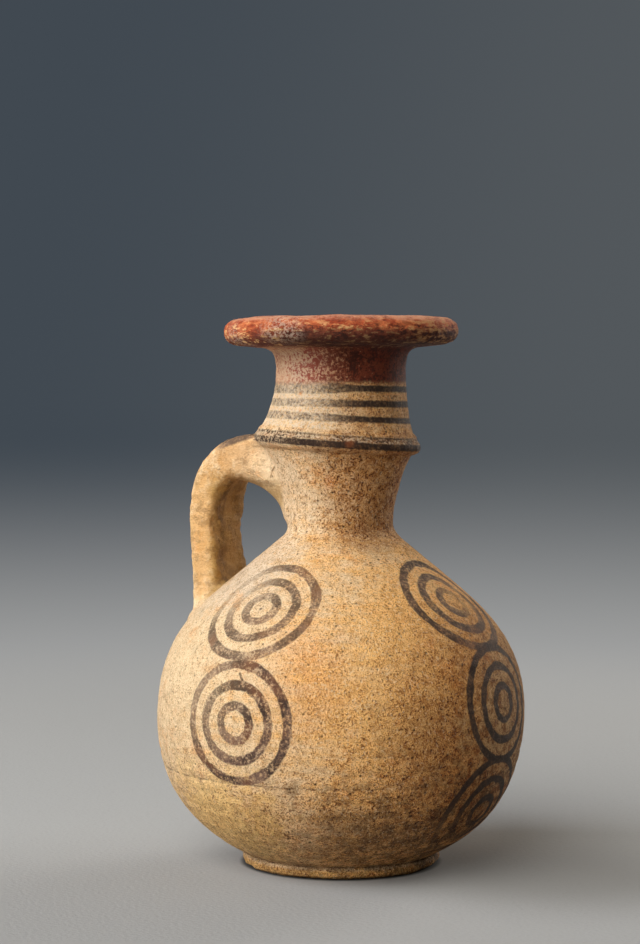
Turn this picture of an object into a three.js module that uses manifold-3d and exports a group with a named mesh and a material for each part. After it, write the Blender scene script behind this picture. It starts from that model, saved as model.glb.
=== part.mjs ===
// Handle-ridge juglet: a small wheel-thrown oil juglet of fired clay. It has a globular body on a low disc
// foot, a funnel neck with a raised ridge, a broad disc rim, and a strap handle that springs from the ridge.
// Millimetres, +Z up. The origin is the middle of the flat underside, and the handle lies on the -X side.
//
// The pieces are the ones that a potter makes and lutes together before firing. Each turned piece stands on a
// flat seat of the piece below, and every sideways joint leaves room for a bed of slip.

import * as THREE from "three";
import { mergeVertices } from "three/addons/utils/BufferGeometryUtils.js";
import Module from "manifold-3d";

const wasm = await Module();
wasm.setup();

// Driving dimensions
const SLIP_BED = 0.3; // room for the slip in a luted joint
const FOOT = { radius: 19.9, underside: 18.8, seat: 19.3, height: 2.3, noseHeight: 1.3 };
const BODY = { bellyRadius: 37.0, bellyHeight: 30.5, wall: 3.6, floor: 4.6, mouth: 11.0 };
const SHOULDER = { radius: 14.0, height: 63.8 };
const THROAT = { radius: 10.5, height: 68.3, bore: 7.2, spigot: 2.4 };
const RIDGE = { radius: 16.7, height: 85.0, seat: 14.8, top: 15.2, above: 2.3, below: 2.2, bore: 10.7 };
const COLLAR = { radius: 13.0, height: 99.0, bore: 9.8, topRadius: 13.7, topHeight: 102.6 };
const TONGUE = { atRidge: 12.3, atRim: 11.5, height: 1.5 };
const RIM = { radius: 23.4, noseHeight: 106.9, crown: 19.0, height: 109.6, corner: 19.6, cornerHeight: 104 };
const HANDLE = { thickness: 6.8, width: 13.0, rootThickness: 8.8, rootWidth: 14.0, squareness: 5 };
const ROOT_WAD = { thickness: 7.6, width: 10.0 };
const BASE_WAD = { alongSlope: 8.2, acrossSlope: 9.8, rise: 2.8, slope: 45 };

// The strap's centre line in the XZ plane, from inside the neck wall to inside the shoulder wall
const STRAP_LINE = [
  [-11.8, 80.7],
  [-17.5, 81.9],
  [-23.2, 81.0],
  [-27.6, 76.9],
  [-29.2, 70.0],
  [-28.7, 61.0],
  [-28.1, 52.0],
  [-27.7, 46.5],
];
// The root wad's centre line in the same plane: its start, its bend and its end
const ROOT_WAD_LINE = [
  [-7.5, 71.5],
  [-11.2, 77.6],
  [-19.5, 80.6],
];

// The wet neck was pulled towards the handle when the strap was pressed on, and its ridge was left on a slant.
const PULL = { towardsHandle: 0.8, reach: 7.0 };
const SLANT = { ridge: -0.065, rim: 0.006, direction: 28 };

// Facets
const AROUND = 40;
const FACET = 5.5; // longest step along a curve
const SWEEP_STEPS = 26;
const SWEEP_SIDES = 20;

// Finishes
const BUFF_CLAY = { color: 0xd6ad78, roughness: 0.92, metalness: 0 };
const RED_SLIP = { color: 0x9c4a30, roughness: 0.85, metalness: 0 };
const BLACK_PAINT = { color: 0x4a3a33, roughness: 0.88, metalness: 0 };

// Outlines, as radius and height from the underside

function outline(draw) {
  const path = new THREE.Path();
  draw(path);
  const points = path.curves.flatMap((curve) => {
    const steps = curve.isLineCurve ? 1 : Math.max(3, Math.ceil(curve.getLength() / FACET));
    return curve.getPoints(steps);
  });
  return points.filter((point, i) => i === 0 || !point.equals(points[i - 1]));
}

function bodyOutside(path) {
  path.moveTo(FOOT.seat, FOOT.height);
  const [belly, middle] = [BODY.bellyRadius, BODY.bellyHeight];
  const [neck, top] = [SHOULDER.radius, SHOULDER.height];
  path.bezierCurveTo(FOOT.seat + 3.7, FOOT.height + 2.0, belly, middle - 20.3, belly, middle);
  path.bezierCurveTo(belly, middle + 16.5, neck + 13.9, top - 11.9, neck, top);
}

function lowerNeckOutside(path) {
  const [throat, height] = [THROAT.radius, THROAT.height];
  const [ridge, underRidge] = [RIDGE.seat, RIDGE.height - RIDGE.below];
  path.bezierCurveTo(SHOULDER.radius - 1.7, SHOULDER.height + 1.5, throat, height - 2.0, throat, height);
  path.bezierCurveTo(throat, height + 4.7, ridge - 2.4, underRidge - 4.4, ridge, underRidge);
}

function ridgeOutside(path) {
  const overRidge = RIDGE.height + RIDGE.above;
  path.quadraticCurveTo(RIDGE.radius, RIDGE.height - 1.6, RIDGE.radius, RIDGE.height);
  path.quadraticCurveTo(RIDGE.radius - 0.1, overRidge - 0.9, RIDGE.top, overRidge);
}

function collarOutside(path) {
  const overRidge = RIDGE.height + RIDGE.above;
  const [waist, height] = [COLLAR.radius, COLLAR.height];
  path.bezierCurveTo(RIDGE.top - 0.9, overRidge + 1.7, waist, height - 5.0, waist, height);
  path.quadraticCurveTo(waist, COLLAR.topHeight - 1.2, COLLAR.topRadius, COLLAR.topHeight);
}

function rimOutside(path) {
  const [nose, middle] = [RIM.radius, RIM.noseHeight];
  const [corner, under] = [RIM.corner, RIM.cornerHeight];
  path.quadraticCurveTo(COLLAR.topRadius + 0.7, under - 0.4, corner - 3.2, under - 0.3);
  path.lineTo(corner, under);
  path.bezierCurveTo(corner + 2.8, under + 0.3, nose, middle - 1.7, nose, middle);
  path.bezierCurveTo(nose, middle + 1.6, RIM.crown + 3.0, RIM.height, RIM.crown, RIM.height);
}

// The inner wall follows the body's outer curve at the wall's thickness, from the mouth down to the floor.
function bodyInside(outside) {
  const floorHeight = FOOT.height + BODY.floor;
  const inside = [];
  outside.forEach((point, i) => {
    const ahead = outside[Math.min(i + 1, outside.length - 1)];
    const behind = outside[Math.max(i - 1, 0)];
    const along = ahead.clone().sub(behind).normalize();
    const inner = new THREE.Vector2(point.x - along.y * BODY.wall, point.y + along.x * BODY.wall);
    if (inner.y > floorHeight + 1 && inner.x > BODY.mouth + 0.5) inside.push(inner);
  });
  const lip = new THREE.Vector2(BODY.mouth, inside.at(-1).y + 0.6);
  const floor = [new THREE.Vector2(inside[0].x - 4, floorHeight), new THREE.Vector2(0, floorHeight)];
  return [lip, ...inside.reverse(), ...floor];
}

// Turned geometry

function pulledByHand(geometry) {
  const direction = THREE.MathUtils.degToRad(SLANT.direction);
  const position = geometry.getAttribute("position");
  const point = new THREE.Vector3();
  for (let i = 0; i < position.count; i++) {
    point.fromBufferAttribute(position, i);
    const nearRidge = Math.exp(-(((point.z - RIDGE.height) / PULL.reach) ** 2));
    const nearRim = THREE.MathUtils.smoothstep(point.z, COLLAR.height, COLLAR.topHeight);
    const downhill = point.x * Math.cos(direction) + point.y * Math.sin(direction);
    point.z += (SLANT.ridge * nearRidge + SLANT.rim * nearRim) * downhill;
    point.x -= PULL.towardsHandle * nearRidge;
    position.setXYZ(i, point.x, point.y, point.z);
  }
  return geometry;
}

function turned(profile) {
  const geometry = new THREE.LatheGeometry(profile, AROUND);
  geometry.rotateX(Math.PI / 2);
  return pulledByHand(geometry);
}

function footGeometry() {
  return turned(
    outline((path) => {
      path.moveTo(0, 0);
      path.lineTo(FOOT.underside, 0);
      path.quadraticCurveTo(FOOT.radius, 0.2, FOOT.radius, FOOT.noseHeight);
      path.quadraticCurveTo(FOOT.radius, 2.0, FOOT.seat, FOOT.height);
      path.lineTo(0, FOOT.height);
    }),
  );
}

function bodyGeometry() {
  const outside = outline(bodyOutside);
  const base = new THREE.Vector2(0, FOOT.height);
  const seat = new THREE.Vector2(BODY.mouth, SHOULDER.height);
  return turned([base, ...outside, seat, ...bodyInside(outside)]);
}

function lowerNeckGeometry() {
  const spigot = BODY.mouth - SLIP_BED;
  const spigotEnd = SHOULDER.height - THROAT.spigot;
  const bore = THROAT.bore;
  const tongueTop = RIDGE.height + TONGUE.height;
  return turned(
    outline((path) => {
      path.moveTo(spigot, SHOULDER.height);
      path.lineTo(SHOULDER.radius, SHOULDER.height);
      lowerNeckOutside(path);
      path.lineTo(RIDGE.seat - SLIP_BED, RIDGE.height - RIDGE.below);
      path.lineTo(RIDGE.seat - SLIP_BED, RIDGE.height);
      path.lineTo(TONGUE.atRidge, RIDGE.height);
      path.lineTo(TONGUE.atRidge, tongueTop);
      path.lineTo(RIDGE.bore, tongueTop);
      path.bezierCurveTo(RIDGE.bore - 0.3, RIDGE.height - 6, bore, THROAT.height + 6.7, bore, THROAT.height);
      path.lineTo(bore, spigotEnd + 0.8);
      path.lineTo(bore + 0.8, spigotEnd);
      path.lineTo(spigot, spigotEnd);
      path.lineTo(spigot, SHOULDER.height);
    }),
  );
}

function ridgeGeometry() {
  const inside = RIDGE.seat;
  return turned(
    outline((path) => {
      path.moveTo(inside, RIDGE.height - RIDGE.below);
      ridgeOutside(path);
      path.lineTo(inside, RIDGE.height + RIDGE.above);
      path.lineTo(inside, RIDGE.height - RIDGE.below);
    }),
  );
}

function collarGeometry() {
  const recess = TONGUE.atRidge + SLIP_BED;
  const recessTop = RIDGE.height + TONGUE.height + SLIP_BED;
  const overRidge = RIDGE.height + RIDGE.above;
  const tongueTop = COLLAR.topHeight + TONGUE.height;
  const bore = COLLAR.bore;
  return turned(
    outline((path) => {
      path.moveTo(recess, RIDGE.height);
      path.lineTo(RIDGE.seat - SLIP_BED, RIDGE.height);
      path.lineTo(RIDGE.seat - SLIP_BED, overRidge);
      path.lineTo(RIDGE.top, overRidge);
      collarOutside(path);
      path.lineTo(TONGUE.atRim, COLLAR.topHeight);
      path.lineTo(TONGUE.atRim, tongueTop);
      path.lineTo(bore, tongueTop);
      path.lineTo(bore, COLLAR.height);
      path.bezierCurveTo(bore, COLLAR.height - 4, RIDGE.bore, recessTop + 4.2, RIDGE.bore, recessTop);
      path.lineTo(recess, recessTop);
      path.lineTo(recess, RIDGE.height);
    }),
  );
}

function rimGeometry() {
  const recess = TONGUE.atRim + SLIP_BED;
  const recessTop = COLLAR.topHeight + TONGUE.height + SLIP_BED;
  const bore = COLLAR.bore;
  return turned(
    outline((path) => {
      path.moveTo(recess, COLLAR.topHeight);
      path.lineTo(COLLAR.topRadius, COLLAR.topHeight);
      rimOutside(path);
      path.bezierCurveTo(RIM.crown - 3, RIM.height, bore + 0.8, RIM.height - 0.6, bore, recessTop + 1.2);
      path.lineTo(bore, recessTop);
      path.lineTo(recess, recessTop);
      path.lineTo(recess, COLLAR.topHeight);
    }),
  );
}

// Boolean helpers

function solidFrom(geometry) {
  const bare = geometry.index ? geometry.toNonIndexed() : geometry.clone();
  bare.deleteAttribute("normal");
  bare.deleteAttribute("uv");
  const merged = mergeVertices(bare, 1e-3);
  const vertProperties = merged.getAttribute("position").array;
  const triVerts = new Uint32Array(merged.index.array);
  return new wasm.Manifold(new wasm.Mesh({ numProp: 3, vertProperties, triVerts }));
}

function geometryFrom(solid) {
  const mesh = solid.getMesh();
  const geometry = new THREE.BufferGeometry();
  geometry.setAttribute("position", new THREE.BufferAttribute(mesh.vertProperties, 3));
  geometry.setIndex(new THREE.BufferAttribute(mesh.triVerts, 1));
  geometry.computeVertexNormals();
  return geometry;
}

// The whole pot as one filled solid, a slip bed larger than it is, so that the handle can be cut to fit it.
function potEnvelope() {
  const wholeOutside = outline((path) => {
    bodyOutside(path);
    lowerNeckOutside(path);
    ridgeOutside(path);
    collarOutside(path);
    rimOutside(path);
  });
  const grown = wholeOutside.map((point) => new THREE.Vector2(point.x + SLIP_BED * 1.2, point.y));
  const bottom = new THREE.Vector2(0, grown[0].y);
  const top = new THREE.Vector2(0, grown.at(-1).y);
  return solidFrom(turned([bottom, ...grown, top]));
}

// Handle

// A band with rounded edges, swept along a line in the XZ plane
function swept(line, sizeAt, grow = 0) {
  const across = new THREE.Vector3(0, 1, 0);
  const squared = (v) => Math.sign(v) * Math.abs(v) ** (2 / HANDLE.squareness);
  const vertices = [];
  for (let step = 0; step <= SWEEP_STEPS; step++) {
    const t = step / SWEEP_STEPS;
    const outward = across.clone().cross(line.getTangentAt(t));
    const { thickness, width } = sizeAt(t);
    for (let side = 0; side < SWEEP_SIDES; side++) {
      const angle = (side / SWEEP_SIDES) * 2 * Math.PI;
      const point = line.getPointAt(t);
      point.addScaledVector(outward, (squared(Math.cos(angle)) * thickness) / 2 + Math.cos(angle) * grow);
      point.addScaledVector(across, (squared(Math.sin(angle)) * width) / 2 + Math.sin(angle) * grow);
      vertices.push(point.x, point.y, point.z);
    }
  }
  return skinOver(vertices);
}

// Joins the rings of a sweep into a closed skin, with a flat fan on each end.
function skinOver(vertices) {
  const faces = [];
  for (let step = 0; step < SWEEP_STEPS; step++) {
    for (let side = 0; side < SWEEP_SIDES; side++) {
      const a = step * SWEEP_SIDES + side;
      const b = step * SWEEP_SIDES + ((side + 1) % SWEEP_SIDES);
      faces.push(a, b, a + SWEEP_SIDES, b, b + SWEEP_SIDES, a + SWEEP_SIDES);
    }
  }
  const last = SWEEP_STEPS * SWEEP_SIDES;
  for (let side = 1; side < SWEEP_SIDES - 1; side++) {
    faces.push(0, side + 1, side);
    faces.push(last, last + side, last + side + 1);
  }
  const geometry = new THREE.BufferGeometry();
  geometry.setAttribute("position", new THREE.Float32BufferAttribute(vertices, 3));
  geometry.setIndex(faces);
  return geometry;
}

const inHandlePlane = ([x, z]) => new THREE.Vector3(x, 0, z);

// The strap is thicker and wider where it is pressed onto the pot.
function strapGeometry(grow = 0) {
  const line = new THREE.CatmullRomCurve3(STRAP_LINE.map(inHandlePlane));
  const sizeAt = (t) => {
    const root = 1 - THREE.MathUtils.smoothstep(t, 0.05, 0.4);
    const base = THREE.MathUtils.smoothstep(t, 0.8, 1);
    return {
      thickness: THREE.MathUtils.lerp(HANDLE.thickness, HANDLE.rootThickness, root) + base,
      width: THREE.MathUtils.lerp(HANDLE.width, HANDLE.rootWidth, Math.max(root, base)),
    };
  };
  return swept(line, sizeAt, grow);
}

// The web of soft clay that was smeared from the strap's root down onto the neck
function rootWadGeometry() {
  const line = new THREE.QuadraticBezierCurve3(...ROOT_WAD_LINE.map(inHandlePlane));
  return swept(line, () => ROOT_WAD);
}

// The low collar of soft clay that was pressed round the strap's foot on the shoulder
function baseWadGeometry() {
  const geometry = new THREE.SphereGeometry(1, 28, 18);
  geometry.scale(BASE_WAD.alongSlope, BASE_WAD.acrossSlope, BASE_WAD.rise);
  geometry.rotateY(THREE.MathUtils.degToRad(-BASE_WAD.slope));
  const [footX, footZ] = STRAP_LINE.at(-2);
  geometry.translate(footX, 0, footZ - 1.6);
  return geometry;
}

// Assembly

function piece(name, geometry, finish) {
  const mesh = new THREE.Mesh(geometry, new THREE.MeshStandardMaterial(finish));
  mesh.name = name;
  return mesh;
}

const pot = potEnvelope();
const strapSeat = solidFrom(strapGeometry(SLIP_BED));
const strap = solidFrom(strapGeometry()).subtract(pot);
const rootWad = solidFrom(rootWadGeometry()).subtract(pot).subtract(strapSeat);
const baseWad = solidFrom(baseWadGeometry()).subtract(pot).subtract(strapSeat);

const container = new THREE.Group();
container.add(piece("foot_disc", footGeometry(), BUFF_CLAY));
container.add(piece("body", bodyGeometry(), BUFF_CLAY));

const neck = new THREE.Group();
neck.add(piece("lower_neck", lowerNeckGeometry(), BUFF_CLAY));
neck.add(piece("neck_ridge", ridgeGeometry(), BLACK_PAINT));
neck.add(piece("upper_neck", collarGeometry(), BUFF_CLAY));
neck.add(piece("rim_disc", rimGeometry(), RED_SLIP));

const handle = new THREE.Group();
handle.add(piece("handle_strap", geometryFrom(strap), BUFF_CLAY));
handle.add(piece("handle_root_wad", geometryFrom(rootWad), BUFF_CLAY));
handle.add(piece("handle_base_wad", geometryFrom(baseWad), BUFF_CLAY));

const juglet = new THREE.Group();
juglet.add(container, neck, handle);

export default juglet;
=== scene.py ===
"""Looks of a small fired clay juglet that has a ridge where its handle meets the neck.

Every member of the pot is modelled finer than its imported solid, in the same frame, and stands for it.
Lengths are in millimetres, but the camera and the lamps are placed in metres. The pot was turned about
Z, its handle is on -X, and the side that the picture shows best looks towards -Y and +X.
"""

import logging
import math
from dataclasses import dataclass, field
from enum import Enum
from functools import reduce

import bpy
import numpy as np
from bpy.types import Material, Node, NodeSocket, Object, World
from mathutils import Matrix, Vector


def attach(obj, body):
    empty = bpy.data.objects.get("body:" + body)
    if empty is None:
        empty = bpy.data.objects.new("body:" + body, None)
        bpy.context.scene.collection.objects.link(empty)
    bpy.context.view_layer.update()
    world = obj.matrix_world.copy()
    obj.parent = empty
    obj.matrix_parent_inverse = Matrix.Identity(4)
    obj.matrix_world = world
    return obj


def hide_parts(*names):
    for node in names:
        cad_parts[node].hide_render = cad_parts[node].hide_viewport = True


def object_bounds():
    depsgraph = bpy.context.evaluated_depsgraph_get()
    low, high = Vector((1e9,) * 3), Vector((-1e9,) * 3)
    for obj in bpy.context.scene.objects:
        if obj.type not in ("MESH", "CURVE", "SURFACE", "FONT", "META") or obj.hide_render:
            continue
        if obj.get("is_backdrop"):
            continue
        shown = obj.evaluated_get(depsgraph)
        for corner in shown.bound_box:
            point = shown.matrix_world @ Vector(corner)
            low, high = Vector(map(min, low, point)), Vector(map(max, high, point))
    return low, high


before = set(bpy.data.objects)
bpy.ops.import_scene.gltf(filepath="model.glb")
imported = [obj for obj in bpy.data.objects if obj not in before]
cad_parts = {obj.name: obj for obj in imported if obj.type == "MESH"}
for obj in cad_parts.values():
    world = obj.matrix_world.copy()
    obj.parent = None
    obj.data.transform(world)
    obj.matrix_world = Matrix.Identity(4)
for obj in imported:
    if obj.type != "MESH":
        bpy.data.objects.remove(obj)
solid_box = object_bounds()

LOG = logging.getLogger("juglet")
MM = 0.001
ORIGIN = (0.0, 0.0, 0.0)
PICTURE_TURN = math.radians(28.0)
PICTURE_RIGHT = math.degrees(PICTURE_TURN)
SMOOTH_ANGLE = math.radians(40.0)
WAVE_COUNT = 14
WAVE_PEAK = 3.6
WEIGHT_STEPS = 24
Point2 = tuple[float, float]
Point3 = tuple[float, float, float]
Colour = tuple[float, float, float, float]


class Slot(Enum):
    """The finishes of the pot, by their names in the record."""

    BUFF = "buff_clay"
    CIRCLES = "circle_painted_clay"
    BANDS = "banded_clay"
    RED = "red_slip"
    BLACK = "black_paint"


class Grain(Enum):
    """The kinds of unevenness that a clay surface is given."""

    LUMPS = "CLOUDS"
    PITS = "VORONOI"


def tint(red: int, green: int, blue: int) -> Colour:
    """Turns a colour as a screen shows it into the linear values that a shader takes.

    Args:
        red: Red from 0 to 255.
        green: Green from 0 to 255.
        blue: Blue from 0 to 255.

    Returns:
        Linear red, green and blue, and full opacity.
    """
    shares = [value / 255 for value in (red, green, blue)]
    linear = [c / 12.92 if c < 0.0405 else ((c + 0.055) / 1.055) ** 2.4 for c in shares]
    return (linear[0], linear[1], linear[2], 1.0)


def smooth_step(value: np.ndarray | float, low: float, high: float) -> np.ndarray | float:
    """Rises smoothly from 0 at low to 1 at high.

    Args:
        value: The number or numbers to place between the two.
        low: Where the rise starts.
        high: Where the rise ends.

    Returns:
        The share of the rise, from 0 to 1.
    """
    share = np.clip((value - low) / (high - low), 0.0, 1.0)
    return share * share * (3.0 - 2.0 * share)


def waves(places: np.ndarray, size: float, seed: int) -> np.ndarray:
    """A smooth unevenness that is the same wherever two members meet.

    Args:
        places: Points, one to a row.
        size: About how far apart its crests are.
        seed: Picks one of many such fields.

    Returns:
        One number a point, mostly between -1 and 1.
    """
    chance = np.random.default_rng(seed)
    total = np.zeros(len(places))
    for _ in range(WAVE_COUNT):
        way = chance.normal(size=3)
        way *= 2.0 * math.pi / (size * chance.uniform(0.75, 1.4) * np.linalg.norm(way))
        total += np.sin(places @ way + chance.uniform(0.0, 2.0 * math.pi))
    return total / WAVE_PEAK


@dataclass
class Section:
    """Half section of a turned member, walked point by point as radius and height."""

    start: Point2
    step: float = 0.5
    points: list[Point2] = field(default_factory=list)

    def __post_init__(self) -> None:
        """Puts the first point in."""
        self.points.append(self.start)

    def every(self, step: float) -> "Section":
        """Sets how far apart the next points lie."""
        self.step = step
        return self

    def line(self, radius: float, height: float) -> "Section":
        """Goes straight to a point."""
        return self.curve((radius, height))

    def curve(self, *controls: Point2) -> "Section":
        """Goes on along a Bezier curve.

        Args:
            controls: Its control points after the last point so far, ending with its own end.

        Returns:
            This section, so that calls can follow each other.
        """
        cage = np.array([self.points[-1], *controls], float)
        length = np.linalg.norm(np.diff(cage, axis=0), axis=1).sum()
        count = max(1, math.ceil(length / self.step))
        for share in np.linspace(0.0, 1.0, count + 1)[1:]:
            level = cage
            while len(level) > 1:
                level = level[:-1] * (1.0 - share) + level[1:] * share
            self.points.append((float(level[0][0]), float(level[0][1])))
        return self

    def follow(self, points: list[Point2]) -> "Section":
        """Goes on through points that another section gave."""
        self.points.extend(points)
        return self


@dataclass(frozen=True)
class HandWork:
    """How the thrower's hand pulled the neck towards the handle and left its ridge and rim aslant."""

    ridge_height: float = 85.0
    pull: float = 0.8
    reach: float = 7.0
    ridge_slant: float = -0.065
    rim_slant: float = 0.006
    rim_from: float = 99.0
    rim_to: float = 102.6

    def offset(self, places: np.ndarray) -> np.ndarray:
        """Works out how far the hand moved each point.

        Args:
            places: Points of the true turned shape, one to a row.

        Returns:
            One move a point.
        """
        near_ridge = np.exp(-(((places[:, 2] - self.ridge_height) / self.reach) ** 2))
        near_rim = smooth_step(places[:, 2], self.rim_from, self.rim_to)
        downhill = places[:, 0] * math.cos(PICTURE_TURN) + places[:, 1] * math.sin(PICTURE_TURN)
        moves = np.zeros_like(places)
        moves[:, 0] = -self.pull * near_ridge
        moves[:, 2] = (self.ridge_slant * near_ridge + self.rim_slant * near_rim) * downhill
        return moves


@dataclass(frozen=True)
class Ribbon:
    """A pulled strip of clay along a line in the handle's plane, with a rounded oblong section."""

    line: tuple[Point2, ...]
    thickness: tuple[float, ...]
    width: tuple[float, ...]
    squareness: float
    stations: int = 130
    end_slack: float = 0.4

    def centres(self) -> np.ndarray:
        """Samples its middle line.

        Returns:
            One row a station: X, Z, the outward direction's X and Z, half thickness and half width.
        """
        knots = np.array(self.line, float)
        knots = np.vstack([2 * knots[0] - knots[1], knots, 2 * knots[-1] - knots[-2]])
        path = []
        for i in range(1, len(knots) - 2):
            path.extend(self._between(*knots[i - 1 : i + 3]))
        path.append(knots[-2])
        path = np.array(path)
        run = np.concatenate([[0.0], np.cumsum(np.linalg.norm(np.diff(path, axis=0), axis=1))])
        share = np.linspace(0.0, 1.0, self.stations)
        x = np.interp(share * run[-1], run, path[:, 0])
        z = np.interp(share * run[-1], run, path[:, 1])
        along = np.gradient(np.stack([x, z], axis=1), axis=0)
        along /= np.linalg.norm(along, axis=1, keepdims=True)
        marks = np.linspace(0.0, 1.0, len(self.thickness))
        thick = np.interp(share, marks, self.thickness) / 2
        wide = np.interp(share, marks, self.width) / 2
        return np.stack([x, z, along[:, 1], -along[:, 0], thick, wide], axis=1)

    @staticmethod
    def _between(*knots: np.ndarray) -> list[np.ndarray]:
        """Points of a smooth curve from the second of four knots to the third.

        Args:
            knots: Four knots that follow each other.

        Returns:
            Twenty points, without the end.
        """
        times = [0.0]
        for a, b in zip(knots, knots[1:]):
            times.append(times[-1] + math.sqrt(float(np.linalg.norm(b - a))))
        made = []
        for t in np.linspace(times[1], times[2], 21)[:-1]:
            level, span = list(knots), 1
            while len(level) > 1:
                shares = [(t - times[i]) / (times[i + span] - times[i]) for i in range(len(level) - 1)]
                level = [level[i] * (1.0 - share) + level[i + 1] * share for i, share in enumerate(shares)]
                span += 1
            made.append(level[0])
        return made

    def nearest(self, places: np.ndarray) -> tuple[np.ndarray, np.ndarray, np.ndarray]:
        """Finds the station of its middle line that is nearest to each point.

        Args:
            places: Points, one to a row.

        Returns:
            The stations' numbers, their rows as centres gives them, and how far outward each point lies.
        """
        spine = self.centres()
        gap_x = places[:, 0:1] - spine[:, 0]
        gap_z = places[:, 2:3] - spine[:, 1]
        number = np.argmin(gap_x**2 + gap_z**2, axis=1)
        here = spine[number]
        out = (places[:, 0] - here[:, 0]) * here[:, 2] + (places[:, 2] - here[:, 1]) * here[:, 3]
        return number, here, out

    def distance(self, places: np.ndarray) -> np.ndarray:
        """About how far points lie outside its surface.

        Args:
            places: Points, one to a row.

        Returns:
            One distance a point, below 0 inside.
        """
        _, here, out = self.nearest(places)
        past = -(places[:, 0] - here[:, 0]) * here[:, 3] + (places[:, 2] - here[:, 1]) * here[:, 2]
        power = self.squareness
        thick_share = np.abs(out / here[:, 4])
        wide_share = np.abs(places[:, 1] / here[:, 5])
        ratio = np.maximum((thick_share**power + wide_share**power) ** (1 / power), 1e-3)
        slope = np.hypot(
            (thick_share / ratio) ** (power - 1) / here[:, 4],
            (wide_share / ratio) ** (power - 1) / here[:, 5],
        )
        side = (ratio - 1.0) / np.maximum(slope, 1e-3)
        return np.where(np.abs(past) < self.end_slack, side, np.hypot(np.maximum(side, 0.0), past))


@dataclass(frozen=True)
class Lump:
    """A pressed pad of clay, as a flattened round tilted about Y."""

    centre: Point3
    half: Point3
    tilt: float
    segments: int = 64
    rings: int = 40

    def turn(self) -> np.ndarray:
        """The matrix that tilts rows of points."""
        turn_cos, turn_sin = math.cos(self.tilt), math.sin(self.tilt)
        return np.array([[turn_cos, 0.0, -turn_sin], [0.0, 1.0, 0.0], [turn_sin, 0.0, turn_cos]])

    def distance(self, places: np.ndarray) -> np.ndarray:
        """About how far points lie outside it.

        Args:
            places: Points, one to a row.

        Returns:
            One distance a point, below 0 inside.
        """
        scaled = (places - np.array(self.centre)) @ self.turn().T / np.array(self.half)
        ratio = np.maximum(np.linalg.norm(scaled, axis=1), 1e-3)
        slope = np.linalg.norm(scaled / np.array(self.half), axis=1) / ratio
        return (ratio - 1.0) / np.maximum(slope, 1e-3)


@dataclass(frozen=True)
class Luting:
    """The slip that was smeared over the joints between handle and pot, so that they flow together."""

    wall: tuple[Point2, ...]
    hand: HandWork
    handle: tuple[Ribbon | Lump, ...]
    heights: tuple[float, ...] = (56.0, 65.0, 77.0, 81.5)
    softness: tuple[float, ...] = (1.2, 3.8, 3.8, 0.5)
    most: float = 2.2
    rounds: int = 14
    near_x: float = -3.0
    near_y: float = 17.0
    near_z: Point2 = (36.0, 92.0)

    def wall_distance(self, places: np.ndarray) -> np.ndarray:
        """About how far points lie outside the turned wall.

        Args:
            places: Points, one to a row.

        Returns:
            One distance a point, below 0 inside.
        """
        true = places - self.hand.offset(places)
        wall = np.array(self.wall)
        radius = np.interp(true[:, 2], wall[:, 1], wall[:, 0])
        slope = np.interp(true[:, 2], wall[:, 1], np.gradient(wall[:, 0], wall[:, 1]))
        return (np.hypot(true[:, 0], true[:, 1]) - radius) / np.sqrt(1.0 + slope * slope)

    def joined(self, places: np.ndarray) -> np.ndarray:
        """About how far points lie outside pot and handle together, with their corners filled.

        Args:
            places: Points, one to a row.

        Returns:
            One distance a point, below 0 inside.
        """
        total = self.wall_distance(places)
        soft = np.interp(places[:, 2], self.heights, self.softness)
        for member in self.handle:
            other = member.distance(places)
            fill = np.maximum(soft - np.abs(total - other), 0.0)
            total = np.minimum(total, other) - fill * fill / (4.0 * soft)
        return total

    def smear(self, places: np.ndarray, outward: np.ndarray) -> np.ndarray:
        """Moves surface points out to the filled surface.

        Args:
            places: Points on a member's surface, one to a row.
            outward: The surface's direction at each.

        Returns:
            The moved points.
        """
        near = (places[:, 0] < self.near_x) & (np.abs(places[:, 1]) < self.near_y)
        near &= (places[:, 2] > self.near_z[0]) & (places[:, 2] < self.near_z[1])
        moved = places.copy()
        if not near.any():
            return moved
        here, way = places[near], outward[near]
        shown = self.joined(here) > -max(self.softness) / 3.0
        travel = np.zeros(len(here))
        for _ in range(self.rounds):
            travel = np.clip(travel - 0.8 * self.joined(here + way * travel[:, None]), 0.0, self.most)
        moved[near] = here + way * np.where(shown, travel, 0.0)[:, None]
        return moved


def take_hold(piece: Object) -> None:
    """Makes one object the only selected and active one.

    Args:
        piece: The object.
    """
    bpy.ops.object.select_all(action="DESELECT")
    piece.select_set(True)
    bpy.context.view_layer.objects.active = piece


def open_mesh(name: str = "") -> Object:
    """Opens the active object's mesh, with everything in it selected.

    Args:
        name: The object's name, if it is new.

    Returns:
        The object.
    """
    piece = bpy.context.object
    if name:
        piece.name = name
        piece.data.name = name
    bpy.ops.object.mode_set(mode="EDIT")
    bpy.ops.mesh.select_all(action="SELECT")
    return piece


def close_mesh() -> None:
    """Turns the faces of the open mesh outward and closes it."""
    bpy.ops.mesh.select_all(action="SELECT")
    bpy.ops.mesh.normals_make_consistent(inside=False)
    bpy.ops.object.mode_set(mode="OBJECT")


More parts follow.
